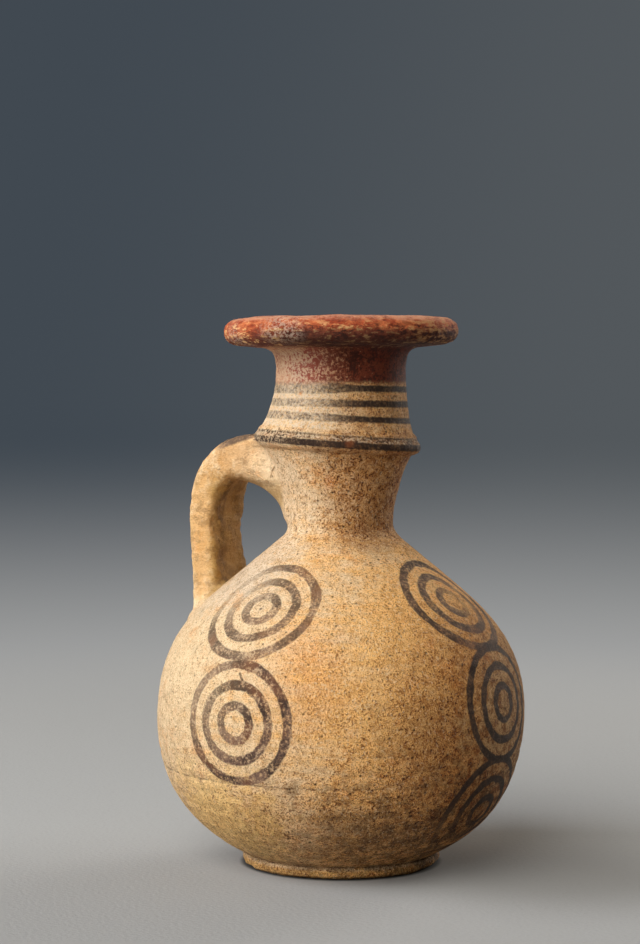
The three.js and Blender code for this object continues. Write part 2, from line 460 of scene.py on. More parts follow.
def turned(name: str, section: Section, around: int) -> Object:
    """Draws a half section point by point and spins it into a member.

    Args:
        name: The piece's name.
        section: Its half section, in millimetres.
        around: How many steps the spin takes.

    Returns:
        The new object, at the origin.
    """
    bpy.ops.object.select_all(action="DESELECT")
    bpy.ops.mesh.primitive_plane_add(size=MM, location=ORIGIN)
    piece = open_mesh(name)
    bpy.ops.mesh.merge(type="CENTER")
    path = np.array(section.points) * MM
    bpy.ops.transform.translate(value=(path[0][0], 0.0, path[0][1]))
    for step in np.diff(path, axis=0):
        bpy.ops.mesh.extrude_vertices_move(TRANSFORM_OT_translate={"value": (step[0], 0.0, step[1])})
    bpy.ops.mesh.select_all(action="SELECT")
    bpy.ops.mesh.spin(steps=around, angle=2.0 * math.pi, center=ORIGIN, axis=(0.0, 0.0, 1.0))
    bpy.ops.mesh.select_all(action="SELECT")
    bpy.ops.mesh.remove_doubles(threshold=0.002 * MM)
    close_mesh()
    return piece


def pulled(name: str, ribbon: Ribbon, around: int) -> Object:
    """Pulls a straight bar of clay by extruding a ring, then bends it along its line.

    Args:
        name: The piece's name.
        ribbon: Its line and section.
        around: How many points its section has.

    Returns:
        The new object, at the origin.
    """
    bpy.ops.object.select_all(action="DESELECT")
    bpy.ops.mesh.primitive_circle_add(vertices=around, radius=MM, location=ORIGIN)
    piece = open_mesh(name)
    for _ in range(ribbon.stations - 1):
        bpy.ops.mesh.extrude_region_move(TRANSFORM_OT_translate={"value": (0.0, 0.0, MM)})
    bpy.ops.mesh.select_all(action="SELECT")
    bpy.ops.mesh.fill_holes(sides=0)
    close_mesh()
    bar = vertices_of(piece)
    spine = ribbon.centres()[np.clip(np.rint(bar[:, 2]).astype(int), 0, ribbon.stations - 1)]
    turn = np.arctan2(bar[:, 1], bar[:, 0])
    power = 2.0 / ribbon.squareness
    out = np.sign(np.cos(turn)) * np.abs(np.cos(turn)) ** power * spine[:, 4]
    side = np.sign(np.sin(turn)) * np.abs(np.sin(turn)) ** power * spine[:, 5]
    bent = np.stack([spine[:, 0] + spine[:, 2] * out, side, spine[:, 1] + spine[:, 3] * out], axis=1)
    move_vertices(piece, bent)
    take_hold(piece)
    open_mesh()
    close_mesh()
    return piece


def pressed(name: str, lump: Lump) -> Object:
    """Flattens a ball of clay into a pad and tilts it onto its slope.

    Args:
        name: The piece's name.
        lump: The pad's place, half sizes and tilt.

    Returns:
        The new object, at the origin.
    """
    bpy.ops.object.select_all(action="DESELECT")
    bpy.ops.mesh.primitive_uv_sphere_add(
        segments=lump.segments, ring_count=lump.rings, radius=MM, location=ORIGIN
    )
    piece = open_mesh(name)
    bpy.ops.transform.resize(value=lump.half)
    close_mesh()
    move_vertices(piece, vertices_of(piece) @ lump.turn() + np.array(lump.centre))
    return piece


def rows_of(piece: Object, kind: str) -> np.ndarray:
    """Reads one vector for each vertex of a piece.

    Args:
        piece: The piece.
        kind: What to read: co for the places, or normal for the outward directions.

    Returns:
        The vectors, one to a row.
    """
    flat = np.zeros(len(piece.data.vertices) * 3, np.float32)
    piece.data.vertices.foreach_get(kind, flat)
    return flat.reshape(-1, 3).astype(float)


def vertices_of(piece: Object) -> np.ndarray:
    """The places of a piece's vertices, in millimetres."""
    return rows_of(piece, "co") / MM


def outward_of(piece: Object) -> np.ndarray:
    """The outward directions at a piece's vertices."""
    return rows_of(piece, "normal")


def move_vertices(piece: Object, places: np.ndarray) -> None:
    """Puts a piece's vertices at new places, given in millimetres."""
    piece.data.vertices.foreach_set("co", (places * MM).astype(np.float32).ravel())
    piece.data.update()


def radii_of(piece: Object) -> np.ndarray:
    """The distances of a piece's vertices from the axis, in millimetres."""
    return np.hypot(*vertices_of(piece)[:, :2].T)


def luted(piece: Object, luting: Luting) -> Object:
    """Moves all of a piece's surface out to where the slip fills its corners."""
    move_vertices(piece, luting.smear(vertices_of(piece), outward_of(piece)))
    return piece


def roughen(piece: Object, grain: Grain, size: float, depth: float, share: np.ndarray) -> None:
    """Gives a surface lumps or pits with a displace modifier, and applies it.

    Args:
        piece: The piece to work on.
        grain: Lumps or pits.
        size: About how far apart they are.
        depth: How far the surface moves in all.
        share: How much of that each vertex gets, from 0 to 1.
    """
    take_hold(piece)
    group = piece.vertex_groups.new(name="worked")
    level = np.rint(share * WEIGHT_STEPS).astype(int)
    for step in range(1, WEIGHT_STEPS + 1):
        group.add(np.nonzero(level == step)[0].tolist(), step / WEIGHT_STEPS, "REPLACE")
    texture = bpy.data.textures.new(f"{piece.name}_{grain.name.lower()}", grain.value)
    texture.noise_scale = size * MM
    if grain is Grain.LUMPS:
        texture.noise_depth = 2
    bpy.ops.object.modifier_add(type="DISPLACE")
    modifier = piece.modifiers[-1]
    modifier.texture = texture
    modifier.texture_coords = "LOCAL"
    modifier.strength = depth * MM
    modifier.mid_level = 0.5 if grain is Grain.LUMPS else 0.75
    modifier.vertex_group = group.name
    bpy.ops.object.modifier_apply(modifier=modifier.name)
    piece.vertex_groups.clear()


class Field:
    """A number that varies over a surface: one socket, with arithmetic that adds Math nodes."""

    def __init__(self, recipe: "Recipe", socket: NodeSocket) -> None:
        """Wraps a socket of a recipe's node tree."""
        self.recipe = recipe
        self.socket = socket

    def __add__(self, other: "Field | float") -> "Field":
        """This plus another."""
        return self.recipe.math("ADD", self, other)

    __radd__ = __add__

    def __sub__(self, other: "Field | float") -> "Field":
        """This less another."""
        return self.recipe.math("SUBTRACT", self, other)

    def __rsub__(self, other: float) -> "Field":
        """A number less this."""
        return self.recipe.math("SUBTRACT", other, self)

    def __mul__(self, other: "Field | float") -> "Field":
        """This times another."""
        return self.recipe.math("MULTIPLY", self, other)

    __rmul__ = __mul__

    def __truediv__(self, other: "Field | float") -> "Field":
        """This divided by another."""
        return self.recipe.math("DIVIDE", self, other)

    def __rtruediv__(self, other: float) -> "Field":
        """A number divided by this."""
        return self.recipe.math("DIVIDE", other, self)

    def __abs__(self) -> "Field":
        """This without its sign."""
        return self.recipe.math("ABSOLUTE", self)

    def least(self, other: "Field | float") -> "Field":
        """The smaller of this and another."""
        return self.recipe.math("MINIMUM", self, other)

    def most(self, other: "Field | float") -> "Field":
        """The larger of this and another."""
        return self.recipe.math("MAXIMUM", self, other)

    def swing(self, half: float) -> "Field":
        """The distance from the nearest whole multiple of twice the given half."""
        return self.recipe.math("PINGPONG", self, half)

    def rise(self, low: float, high: float) -> "Field":
        """Goes smoothly from 0 at low to 1 at high."""
        return self.recipe.ramp(self, low, high, 0.0, 1.0)

    def fall(self, low: float, high: float) -> "Field":
        """Goes smoothly from 1 at low to 0 at high."""
        return self.recipe.ramp(self, low, high, 1.0, 0.0)


def most_of(fields: list[Field]) -> Field:
    """The largest of several fields."""
    return reduce(Field.most, fields)


@dataclass
class Coat:
    """What the layers so far give: a colour, a height in millimetres and a roughness."""

    colour: NodeSocket
    height: Field
    rough: Field | float


class Recipe:
    """The node tree of one finish, read in the pot's own coordinates."""

    def __init__(self, owner: Material | World) -> None:
        """Empties the tree of a material or of the surround, and reads its coordinates.

        Args:
            owner: What the tree belongs to.
        """
        owner.use_nodes = True
        self.owner = owner
        self.tree = owner.node_tree
        self.tree.nodes.clear()
        spot = self.node("ShaderNodeTexCoord").outputs["Object"]
        scaled = self.node("ShaderNodeVectorMath", {"operation": "SCALE"}, {0: spot, 3: 1.0 / MM})
        self.place = scaled.outputs[0]
        split = self.node("ShaderNodeSeparateXYZ", {}, {0: self.place})
        self.x, self.y, self.z = (Field(self, socket) for socket in split.outputs)
        self.radius = self.math("SQRT", self.x * self.x + self.y * self.y)

    def node(self, kind: str, settings: dict | None = None, inputs: dict | None = None) -> Node:
        """Adds one node.

        Args:
            kind: The node's type.
            settings: Its own settings, which are set first.
            inputs: Values, fields or sockets for its inputs, by name or number.

        Returns:
            The new node.
        """
        made = self.tree.nodes.new(kind)
        for key, value in (settings or {}).items():
            setattr(made, key, value)
        for key, value in (inputs or {}).items():
            source = value.socket if isinstance(value, Field) else value
            if isinstance(source, NodeSocket):
                self.tree.links.new(source, made.inputs[key])
            else:
                made.inputs[key].default_value = value
        return made

    def math(self, operation: str, *values: "Field | float") -> Field:
        """Adds a Math node over fields and numbers."""
        made = self.node("ShaderNodeMath", {"operation": operation}, dict(enumerate(values)))
        return Field(self, made.outputs[0])

    def ramp(self, value: Field, low: float, high: float, start: float, end: float) -> Field:
        """Maps a field smoothly from one range to another.

        Args:
            value: The field to map.
            low: Where the change starts.
            high: Where the change ends.
            start: The result up to low.
            end: The result from high on.

        Returns:
            The mapped field.
        """
        inputs = {"Value": value, "From Min": low, "From Max": high, "To Min": start, "To Max": end}
        made = self.node("ShaderNodeMapRange", {"interpolation_type": "SMOOTHSTEP"}, inputs)
        return Field(self, made.outputs["Result"])

    def spread(self, stretch: Point3, seed: float) -> NodeSocket:
        """The coordinates stretched and shifted, so that each pattern is its own."""
        inputs = {0: self.place, 1: stretch, 2: (17.3 * seed, -9.1 * seed, 5.7 * seed)}
        return self.node("ShaderNodeVectorMath", {"operation": "MULTIPLY_ADD"}, inputs).outputs[0]

    def noise(
        self,
        size: float,
        seed: float,
        detail: float = 2.0,
        rough: float = 0.5,
        stretch: Point3 = (1.0, 1.0, 1.0),
    ) -> Field:
        """Soft unevenness around 0.5.

        Args:
            size: About how far apart its spots are.
            seed: Picks one of many.
            detail: How many finer layers it has.
            rough: How strong those are.
            stretch: How much closer the spots lie along X, Y and Z.

        Returns:
            The noise.
        """
        place = self.spread(stretch, seed)
        inputs = {"Vector": place, "Scale": 1.0 / size, "Detail": detail, "Roughness": rough}
        made = self.node("ShaderNodeTexNoise", {"noise_dimensions": "3D"}, inputs)
        return Field(self, made.outputs[0])

    def grits(self, size: float, seed: float, small: float, large: float) -> Field:
        """Scattered round grains.

        Args:
            size: About how far apart they are.
            seed: Picks one of many.
            small: Below this share of the spacing, all is grain.
            large: Above this share of the spacing, nothing is.

        Returns:
            1 on a grain and 0 between them.
        """
        inputs = {"Vector": self.spread((1.0, 1.0, 1.0), seed), "Scale": 1.0 / size}
        made = self.node("ShaderNodeTexVoronoi", {"feature": "F1"}, inputs)
        return Field(self, made.outputs["Distance"]).fall(small, large)

    def away(self, centre: Point3) -> Field:
        """The distance from a point of the pot."""
        made = self.node("ShaderNodeVectorMath", {"operation": "DISTANCE"}, {0: self.place, 1: centre})
        return Field(self, made.outputs["Value"])

    def towards(self, degrees: float) -> Field:
        """How far a point lies from the axis, towards one side of the pot."""
        turn = math.radians(degrees)
        return self.x * math.cos(turn) + self.y * math.sin(turn)

    def outside(self) -> Field:
        """Tells the outer walls from those of the hollow.

        Returns:
            1 on walls that face away from the axis, and 0 on walls that face it.
        """
        facing = self.node("ShaderNodeTexCoord").outputs["Normal"]
        split = self.node("ShaderNodeSeparateXYZ", {}, {0: facing})
        right, back = (Field(self, socket) for socket in split.outputs[:2])
        return (self.x * right + self.y * back).rise(-3.0, 0.0)

    def mix(
        self,
        share: Field,
        first: NodeSocket | Colour,
        second: NodeSocket | Colour,
        blend: str = "MIX",
    ) -> NodeSocket:
        """Mixes two colours.

        Args:
            share: How much of the second shows.
            first: The colour below.
            second: The colour above.
            blend: How the second acts on the first.

        Returns:
            The mixed colour.
        """
        settings = {"data_type": "RGBA", "blend_type": blend}
        return self.node("ShaderNodeMix", settings, {0: share, 6: first, 7: second}).outputs[2]

    def matt(self, coat: Coat, gloss: float) -> NodeSocket:
        """Makes a matt shader.

        Args:
            coat: The finished layers.
            gloss: The shader's specular level.

        Returns:
            The shader's output.
        """
        bump = self.node("ShaderNodeBump", {}, {"Strength": 1.0, "Distance": MM, "Height": coat.height})
        inputs = {"Base Color": coat.colour, "Roughness": coat.rough, "Specular IOR Level": gloss}
        inputs["Normal"] = bump.outputs[0]
        return self.node("ShaderNodeBsdfPrincipled", {}, inputs).outputs[0]

    def between(self, share: Field | NodeSocket, first: NodeSocket, second: NodeSocket) -> NodeSocket:
        """Mixes two shaders, with the given share of the second."""
        return self.node("ShaderNodeMixShader", {}, {0: share, 1: first, 2: second}).outputs[0]

    def end(self, shader: NodeSocket) -> Material | World:
        """Ends the tree in a shader.

        Args:
            shader: The shader's output.

        Returns:
            What the tree belongs to.
        """
        kind = "World" if isinstance(self.owner, World) else "Material"
        self.node(f"ShaderNodeOutput{kind}", {}, {"Surface": shader})
        return self.owner


@dataclass(frozen=True)
class Stain:
    """A soft patch that lies on one place of the pot."""

    centre: Point3
    inner: float
    outer: float
    colour: Colour
    strength: float


@dataclass(frozen=True)
class ClayBody:
    """The fired clay: pale wash over buff, orange blushes, wiping marks, grits and old dirt, with a paler
    painted-lit side and painted shade away from the lamps, in the handle's crease and along the foot's
    bottom.
    """

    wash: Colour = tint(242, 212, 170)
    buff: Colour = tint(255, 199, 123)
    warm: Colour = tint(238, 164, 90)
    deep_with_painted_shade: Colour = tint(176, 114, 50)
    ochre: Colour = tint(238, 186, 108)
    dust: Colour = tint(190, 158, 118)
    grit: Colour = tint(138, 102, 70)
    soot_and_painted_shade: Colour = tint(84, 54, 24)
    painted_inner_shade: Colour = tint(150, 112, 40)
    pale_and_painted_lit_side: float = -150.0
    neck_band: Point2 = (62.0, 68.0)
    low_band: Point2 = (6.0, 42.0)
    foot_band: Point2 = (2.2, 3.0)
    stains: tuple[Stain, ...] = (
        Stain((9.1, -31.9, 45.5), 1.0, 10.0, tint(240, 170, 100), 0.4),
        Stain((12.0, -33.9, 38.0), 1.0, 12.0, tint(232, 164, 92), 0.4),
        Stain((3.8, -11.6, 77.1), 0.3, 2.2, tint(222, 134, 56), 0.6),
        Stain((16.0, -26.7, 11.4), 2.0, 12.0, tint(112, 80, 44), 0.5),
        Stain((24.0, -22.0, 9.0), 2.0, 14.0, tint(104, 72, 36), 0.35),
        Stain((30.0, -14.0, 14.0), 3.0, 16.0, tint(126, 86, 40), 0.3),
        Stain((-10.0, -28.0, 12.0), 5.0, 20.0, tint(255, 210, 130), 0.8),
        Stain((7.7, -34.7, 19.9), 0.4, 2.4, tint(104, 72, 40), 0.6),
        Stain((30.0, -21.2, 28.4), 2.0, 12.0, tint(148, 102, 52), 0.4),
        Stain((1.4, -33.5, 15.2), 1.0, 9.0, tint(228, 174, 88), 0.45),
        Stain((-17.4, -31.5, 39.0), 6.0, 24.0, tint(244, 216, 172), 0.5),
        Stain((-12.7, -14.6, 59.3), 4.0, 16.0, tint(224, 206, 184), 0.6),
        Stain((-28.0, 0.0, 66.0), 8.0, 21.0, tint(206, 150, 74), 0.7),
        Stain((-20.0, -4.0, 84.5), 3.0, 12.0, tint(200, 146, 84), 0.7),
        # A paler patch on the lit side of the neck: partly a paler wash, partly painted light.
        Stain((-8.0, -10.0, 76.0), 3.0, 15.0, tint(244, 216, 178), 0.55),
        Stain((9.0, -7.0, 66.0), 1.0, 8.0, tint(138, 94, 48), 0.35),
        # A lighter patch on the right of the body: painted light from behind on the right, easing the
        # painted shade there.
        Stain((36.0, 3.0, 30.0), 5.0, 23.0, tint(208, 178, 130), 0.5),
    )

    def lay(self, recipe: Recipe) -> Coat:
        """Builds the bare clay, with its painted shade and painted light.

        Args:
            recipe: The tree to build in.

        Returns:
            The clay's colour, height and roughness.
        """
        broad = recipe.noise(20.0, 1.0, detail=8.0, rough=0.62)
        wiped = recipe.noise(1.5, 2.0, detail=6.0, rough=0.7, stretch=(0.09, 0.09, 1.0))
        mottle = recipe.noise(2.4, 3.0, detail=7.0, rough=0.68)
        speck = recipe.noise(0.46, 4.0, detail=3.0, rough=0.65)
        fine = recipe.noise(0.26, 5.0, detail=2.0, rough=0.7)
        blush = recipe.noise(8.0, 6.0, detail=9.0, rough=0.72)
        left = recipe.towards(self.pale_and_painted_lit_side)
        # The side towards the lamps is made paler: partly a paler wash, partly painted light.
        pale_and_painted_lit_side = left.rise(-22.0, 30.0)
        neck = recipe.z.rise(*self.neck_band)
        low = recipe.z.fall(*self.low_band)
        root = recipe.x.fall(-10.6, -9.0) * recipe.z.rise(70.0, 73.0)
        handle = (recipe.x.fall(-25.0, -21.0) * recipe.z.rise(48.0, 53.0)).most(root)
        handle = handle * abs(recipe.y).fall(7.6, 10.0)
        thin = broad * 0.8 + mottle * 0.7 + wiped * 0.8 - pale_and_painted_lit_side * 0.55
        thin = thin - recipe.z.rise(46.0, 60.0) * 0.1
        colour = recipe.mix(thin.rise(0.55, 1.1), self.wash, self.buff)
        # Painted shade: the side away from the lamps, on the body and the neck, is mixed towards a deeper,
        # more saturated clay.
        painted_neck_shade = recipe.x.rise(-3.0, 10.0) * neck * (0.8 - recipe.z.rise(84.0, 88.0) * 0.3)
        painted_shade = (recipe.x.rise(19.0, 38.0) * (1.0 - neck)).most(painted_neck_shade)
        colour = recipe.mix(painted_shade * (0.35 + mottle * 0.8), colour, self.deep_with_painted_shade)
        blushed = (blush.rise(0.53, 0.68) * 0.55).most(low * 0.36 - pale_and_painted_lit_side * 0.2)
        colour = recipe.mix(blushed, colour, self.warm)
        loose = (mottle - 0.5) * 1.6 + (blush - 0.5) * 1.6
        for stain in self.stains:
            share = (recipe.away(stain.centre) + loose * stain.outer).fall(stain.inner, stain.outer)
            colour = recipe.mix(share * stain.strength, colour, stain.colour)
        # Painted shade on the strap's inner face, which faces away from the lamps.
        inner = handle * recipe.x.rise(-28.2, -25.6) * recipe.z.fall(74.0, 80.0)
        colour = recipe.mix(inner * 0.7, colour, self.painted_inner_shade)
        colour = self.foot_wear_and_painted_light(recipe, colour, mottle, speck)
        dirt = recipe.noise(3.4, 7.0, detail=9.0, rough=0.8) + low * 0.08 + (wiped - 0.5) * 0.3
        dirty = 0.16 + low * 0.6 * (1.0 - pale_and_painted_lit_side) + handle * 0.18
        colour = recipe.mix((dirt + handle * 0.04).rise(0.53, 0.63) * dirty, colour, self.soot_and_painted_shade)
        colour = recipe.mix(self.creases(recipe, mottle, broad), colour, self.soot_and_painted_shade)
        # The grain and dusty mottling are stronger on the painted shade side and fainter on the painted
        # lit side.
        harsh = 0.86 + painted_shade * 0.16 + neck * 0.16 + low * 0.2 - pale_and_painted_lit_side * 0.3 - handle * 0.5
        harsh = harsh - neck * left.rise(-4.0, 9.0) * 0.1
        dark = (speck * 0.82 + mottle * 0.22 + neck * 0.012 + low * 0.015).rise(0.568, 0.645) * harsh
        dusty = (fine * 0.88 + mottle * 0.16).rise(0.52, 0.62) * harsh
        pits = recipe.grits(2.4, 8.0, 0.06, 0.13) * harsh
        cloudy = recipe.noise(1.3, 10.0, detail=3.0, rough=0.6).rise(0.42, 0.66) * harsh
        colour = recipe.mix(cloudy * (0.4 + painted_shade * 0.5 + low * 0.2), colour, self.dust, blend="MULTIPLY")
        colour = recipe.mix(dusty, colour, self.dust, blend="MULTIPLY")
        colour = recipe.mix(dark, colour, self.grit, blend="MULTIPLY")
        colour = recipe.mix(pits, colour, self.soot_and_painted_shade)
        flecks = recipe.noise(0.5, 9.0, detail=2.0).rise(0.57, 0.67)
        colour = recipe.mix(flecks * (harsh * 0.7 - painted_shade * 0.5 - low * 0.4).most(0.0), colour, self.wash)
        grainy = (fine * 0.5 + speck * 0.5 - dark * 0.18 - pits * 0.3) * (1.0 - handle * 0.5)
        height = grainy + wiped * 0.2 + mottle * (0.34 + handle * 0.6)
        rough = 0.74 + mottle * 0.2
        return Coat(colour, height, rough)

    def foot_wear_and_painted_light(self, recipe: Recipe, colour: NodeSocket, mottle: Field, speck: Field) -> NodeSocket:
        """Colours the foot: ochre, with its upper edge pale from wear and painted highlight, painted shade
        along its bottom, and soot in spots.

        Args:
            recipe: The tree to build in.
            colour: The clay's colour.
            mottle: Breaks up the worn edge and the spots.
            speck: Makes the spots finer.

        Returns:
            The colour with the foot's wear.
        """
        foot = recipe.z.fall(*self.foot_band)
        colour = recipe.mix(foot * 0.8, colour, self.ochre)
        # Pale upper edge of the foot: partly wear, partly painted highlight.
        worn_and_painted_lit_edge = recipe.z.rise(1.3, 2.0) * mottle.rise(0.36, 0.52)
        colour = recipe.mix(foot * worn_and_painted_lit_edge * 0.9, colour, self.wash)
        # Painted shade along the bottom of the foot.
        colour = recipe.mix(foot * recipe.z.fall(0.1, 0.8) * 0.4, colour, self.soot_and_painted_shade)
        spots = (mottle * 0.4 + speck * 0.6).fall(0.42, 0.49)
        return recipe.mix(foot * spots * 0.6, colour, self.soot_and_painted_shade)

    @staticmethod
    def creases(recipe: Recipe, mottle: Field, broad: Field) -> Field:
        """Darkening in the seam over the foot and in a turning groove, and painted shade in the handle's
        inner crease.

        Args:
            recipe: The tree to build in.
            mottle: Breaks the lines up.
            broad: Lets the lines wander.

        Returns:
            How dark each place is made, from 0 to 1.
        """
        seam = abs(recipe.z - 2.6 + (mottle - 0.5) * 0.9).fall(0.2, 0.75)
        groove = abs(recipe.z - 20.4 + (broad - 0.5) * 0.6).fall(0.06, 0.3) * mottle.rise(0.4, 0.56)
        # Painted shade in the handle's inner crease.
        painted_crease_shade = abs(recipe.y + 3.4 + (mottle - 0.5) * 3.0).fall(0.2, 2.6) * mottle.rise(0.36, 0.56)
        painted_crease_shade = painted_crease_shade * recipe.x.rise(-28.4, -26.4) * recipe.x.fall(-23.0, -20.0) * recipe.z.fall(76.0, 80.0)
        return most_of([seam * 0.16, groove * 0.5, painted_crease_shade * 0.65])


@dataclass(frozen=True)
class CircleSet:
    """Rings that a pivoted brush drew round one point."""

    centre: Point3
    strength: float = 1.0
    dot: bool = False
    first: float = 3.3
    pitch: float = 3.94
    outer: float = 12.6
    half: float = 0.94
    worn_at: Point3 = (0.0, 0.0, 0.0)
    worn_reach: float = 0.0
    worn_share: float = 0.7
    shade: float = 0.0


@dataclass(frozen=True)
class Brush:
    """Thin black-brown paint, worn and speckled."""

    dark: Colour = tint(62, 43, 32)
    thin: Colour = tint(136, 104, 84)
    rusty: Colour = tint(120, 74, 46)
    heavy: Colour = tint(48, 30, 16)

    def stroke(self, recipe: Recipe, coat: Coat, cover: Field, loaded: Field | None = None) -> Coat:
        """Lays paint where a stroke goes.

        Args:
            recipe: The tree to build in.
            coat: What lies below.
            cover: How much paint lies where, from 0 to 1.
            loaded: Where the brush held more paint, from 0 to 1.

        Returns:
            The painted coat.
        """
        grain = recipe.noise(0.55, 31.0, detail=3.0, rough=0.65)
        patchy = recipe.noise(2.6, 32.0, detail=4.0, rough=0.6)
        lost = (grain * 0.75 + patchy * 0.45).rise(0.57, 0.77)
        film = recipe.noise(6.0, 34.0, detail=3.0)
        tone = (grain * 0.36 + patchy * 0.36 + film * 0.44).rise(0.48, 0.68)
        paint = recipe.mix(tone, self.dark, self.thin)
        paint = recipe.mix(recipe.noise(7.0, 33.0).rise(0.53, 0.67) * 0.7, paint, self.rusty)
        if loaded is not None:
            paint = recipe.mix(loaded, paint, self.heavy)
            lost = lost * (1.0 - loaded * 0.85)
        solid = cover * (1.0 - lost * 0.62)
        colour = recipe.mix(solid, coat.colour, paint)
        return Coat(colour, coat.height + solid * 0.03, coat.rough - solid * 0.08)


@dataclass(frozen=True)
class PaintedCircles:
    """The columns of ringed circles round the body. Those on the far side are a guess."""

    sets: tuple[CircleSet, ...] = (
        CircleSet((-3.5, -26.2, 53.0), 0.86, dot=True, worn_at=(-13.0, -20.0, 57.0), worn_reach=13.0),
        CircleSet((-3.3, -36.8, 32.2), worn_at=(-14.0, -34.0, 38.0), worn_reach=17.0, worn_share=0.25),
        CircleSet((25.8, -1.9, 53.6), 0.96, shade=0.3, worn_at=(26.6, 1.0, 54.0), worn_reach=6.5),
        CircleSet((36.8, -1.4, 34.6), half=0.86, shade=0.8),
        CircleSet((32.3, -2.9, 13.2), half=0.8, shade=0.85, worn_at=(27.0, -10.0, 5.0), worn_reach=13.0),
        CircleSet((1.6, 26.5, 53.2), 0.88, dot=True),
        CircleSet((1.9, 36.9, 32.5), 0.92, worn_at=(12.0, 33.0, 26.0), worn_reach=10.0),
    )
    brush: Brush = Brush()
    skid: Point3 = (-2.6, -35.3, 40.9)

    def lay(self, recipe: Recipe, coat: Coat) -> Coat:
        """Paints all the circles, and the short mark on one where the brush skidded.

        Args:
            recipe: The tree to build in.
            coat: What lies below.

        Returns:
            The painted coat.
        """
        wander = (recipe.noise(1.8, 21.0, detail=4.0, rough=0.6) - 0.5) * 1.4
        swell = (recipe.noise(6.0, 22.0) - 0.5) * 0.9
        strokes: list[Field] = []
        shades: list[Field] = []
        for ring in self.sets:
            reach = recipe.away(ring.centre)
            loose = reach + wander * 0.5
            line = (loose - ring.first).swing(ring.pitch / 2)
            within = reach.fall(ring.outer, ring.outer + 0.4)
            painted = (ring.half + swell - line + wander * 0.3).rise(-0.14, 0.2) * within
            if not ring.dot:
                painted = painted * reach.rise(1.2, 1.7)
            painted = painted * ring.strength
            if ring.worn_reach:
                worn = recipe.away(ring.worn_at).fall(ring.worn_reach * 0.2, ring.worn_reach)
                painted = painted * (1.0 - worn * ring.worn_share)
            strokes.append(painted)
            if ring.shade:
                shades.append(within * ring.shade)
        aside = self.skid[0] * math.cos(PICTURE_TURN) + self.skid[1] * math.sin(PICTURE_TURN)
        across = recipe.towards(PICTURE_RIGHT) - aside + (recipe.z - self.skid[2]) * 0.36
        strokes.append(abs(across).fall(0.1, 0.4) * recipe.away(self.skid).fall(0.7, 1.2) * 0.8)
        return self.brush.stroke(recipe, coat, most_of(strokes) * recipe.outside(), most_of(shades))


@dataclass(frozen=True)
class NeckLine:
    """A thin line painted round the upper neck, smeared wider where it is rubbed."""

    height: float
    half: float
    slope: float
    smear: float


@dataclass(frozen=True)
class NeckBands:
    """Three black lines below the red slip, rubbed thin on the side towards the handle."""

    lines: tuple[NeckLine, ...] = (
        NeckLine(95.5, 0.62, -0.02, 0.6),
        NeckLine(92.5, 0.66, -0.02, 0.1),
        NeckLine(89.6, 0.58, -0.05, 0.2),
    )
    rubbed_side: float = -150.0
    brush: Brush = Brush(dark=tint(52, 38, 30), thin=tint(104, 82, 66), rusty=tint(84, 52, 34))
    chalk: Colour = tint(224, 206, 182)
    cream: Colour = tint(238, 202, 154)
    orange: Colour = tint(226, 140, 58)
    spots: tuple[Point3, ...] = ((-2.0, -13.2, 94.6), (-1.6, -13.6, 91.0), (0.0, -14.2, 87.6))

    def lay(self, recipe: Recipe, coat: Coat) -> Coat:
        """Paints the three lines, a few orange spots and the chalky film that rubbing left.

        Args:
            recipe: The tree to build in.
            coat: What lies below.

        Returns:
            The painted coat.
        """
        downhill = recipe.towards(PICTURE_RIGHT)
        ragged = (recipe.noise(1.1, 41.0, detail=5.0, rough=0.7) - 0.5) * 1.1
        rubbed = (recipe.towards(self.rubbed_side) + ragged * 4.0).rise(-4.0, 6.0)
        strokes: list[Field] = []
        for line in self.lines:
            off = abs(recipe.z - line.height - downhill * line.slope) + ragged * 0.5
            strokes.append((off - rubbed * line.smear).fall(line.half - 0.2, line.half + 0.2))
        gaps = recipe.noise(0.6, 42.0, detail=3.0, rough=0.65).rise(0.42, 0.57)
        film = (recipe.noise(0.5, 43.0, detail=3.0, rough=0.65) + rubbed * 0.1).rise(0.52, 0.66)
        washed = recipe.z.rise(86.8, 88.0) * (0.08 + rubbed * 0.22)
        coat.colour = recipe.mix(washed, coat.colour, self.cream)
        coat.colour = recipe.mix(film * rubbed * 0.6, coat.colour, self.chalk)
        for spot in self.spots:
            near = (recipe.away(spot) + ragged).fall(0.2, 0.6)
            coat.colour = recipe.mix(near * 0.7, coat.colour, self.orange)
        cover = most_of(strokes) * (1.0 - rubbed * (0.2 + gaps * 0.5)) * recipe.outside()
        return self.brush.stroke(recipe, coat, cover, 0.8 - rubbed * 0.8)


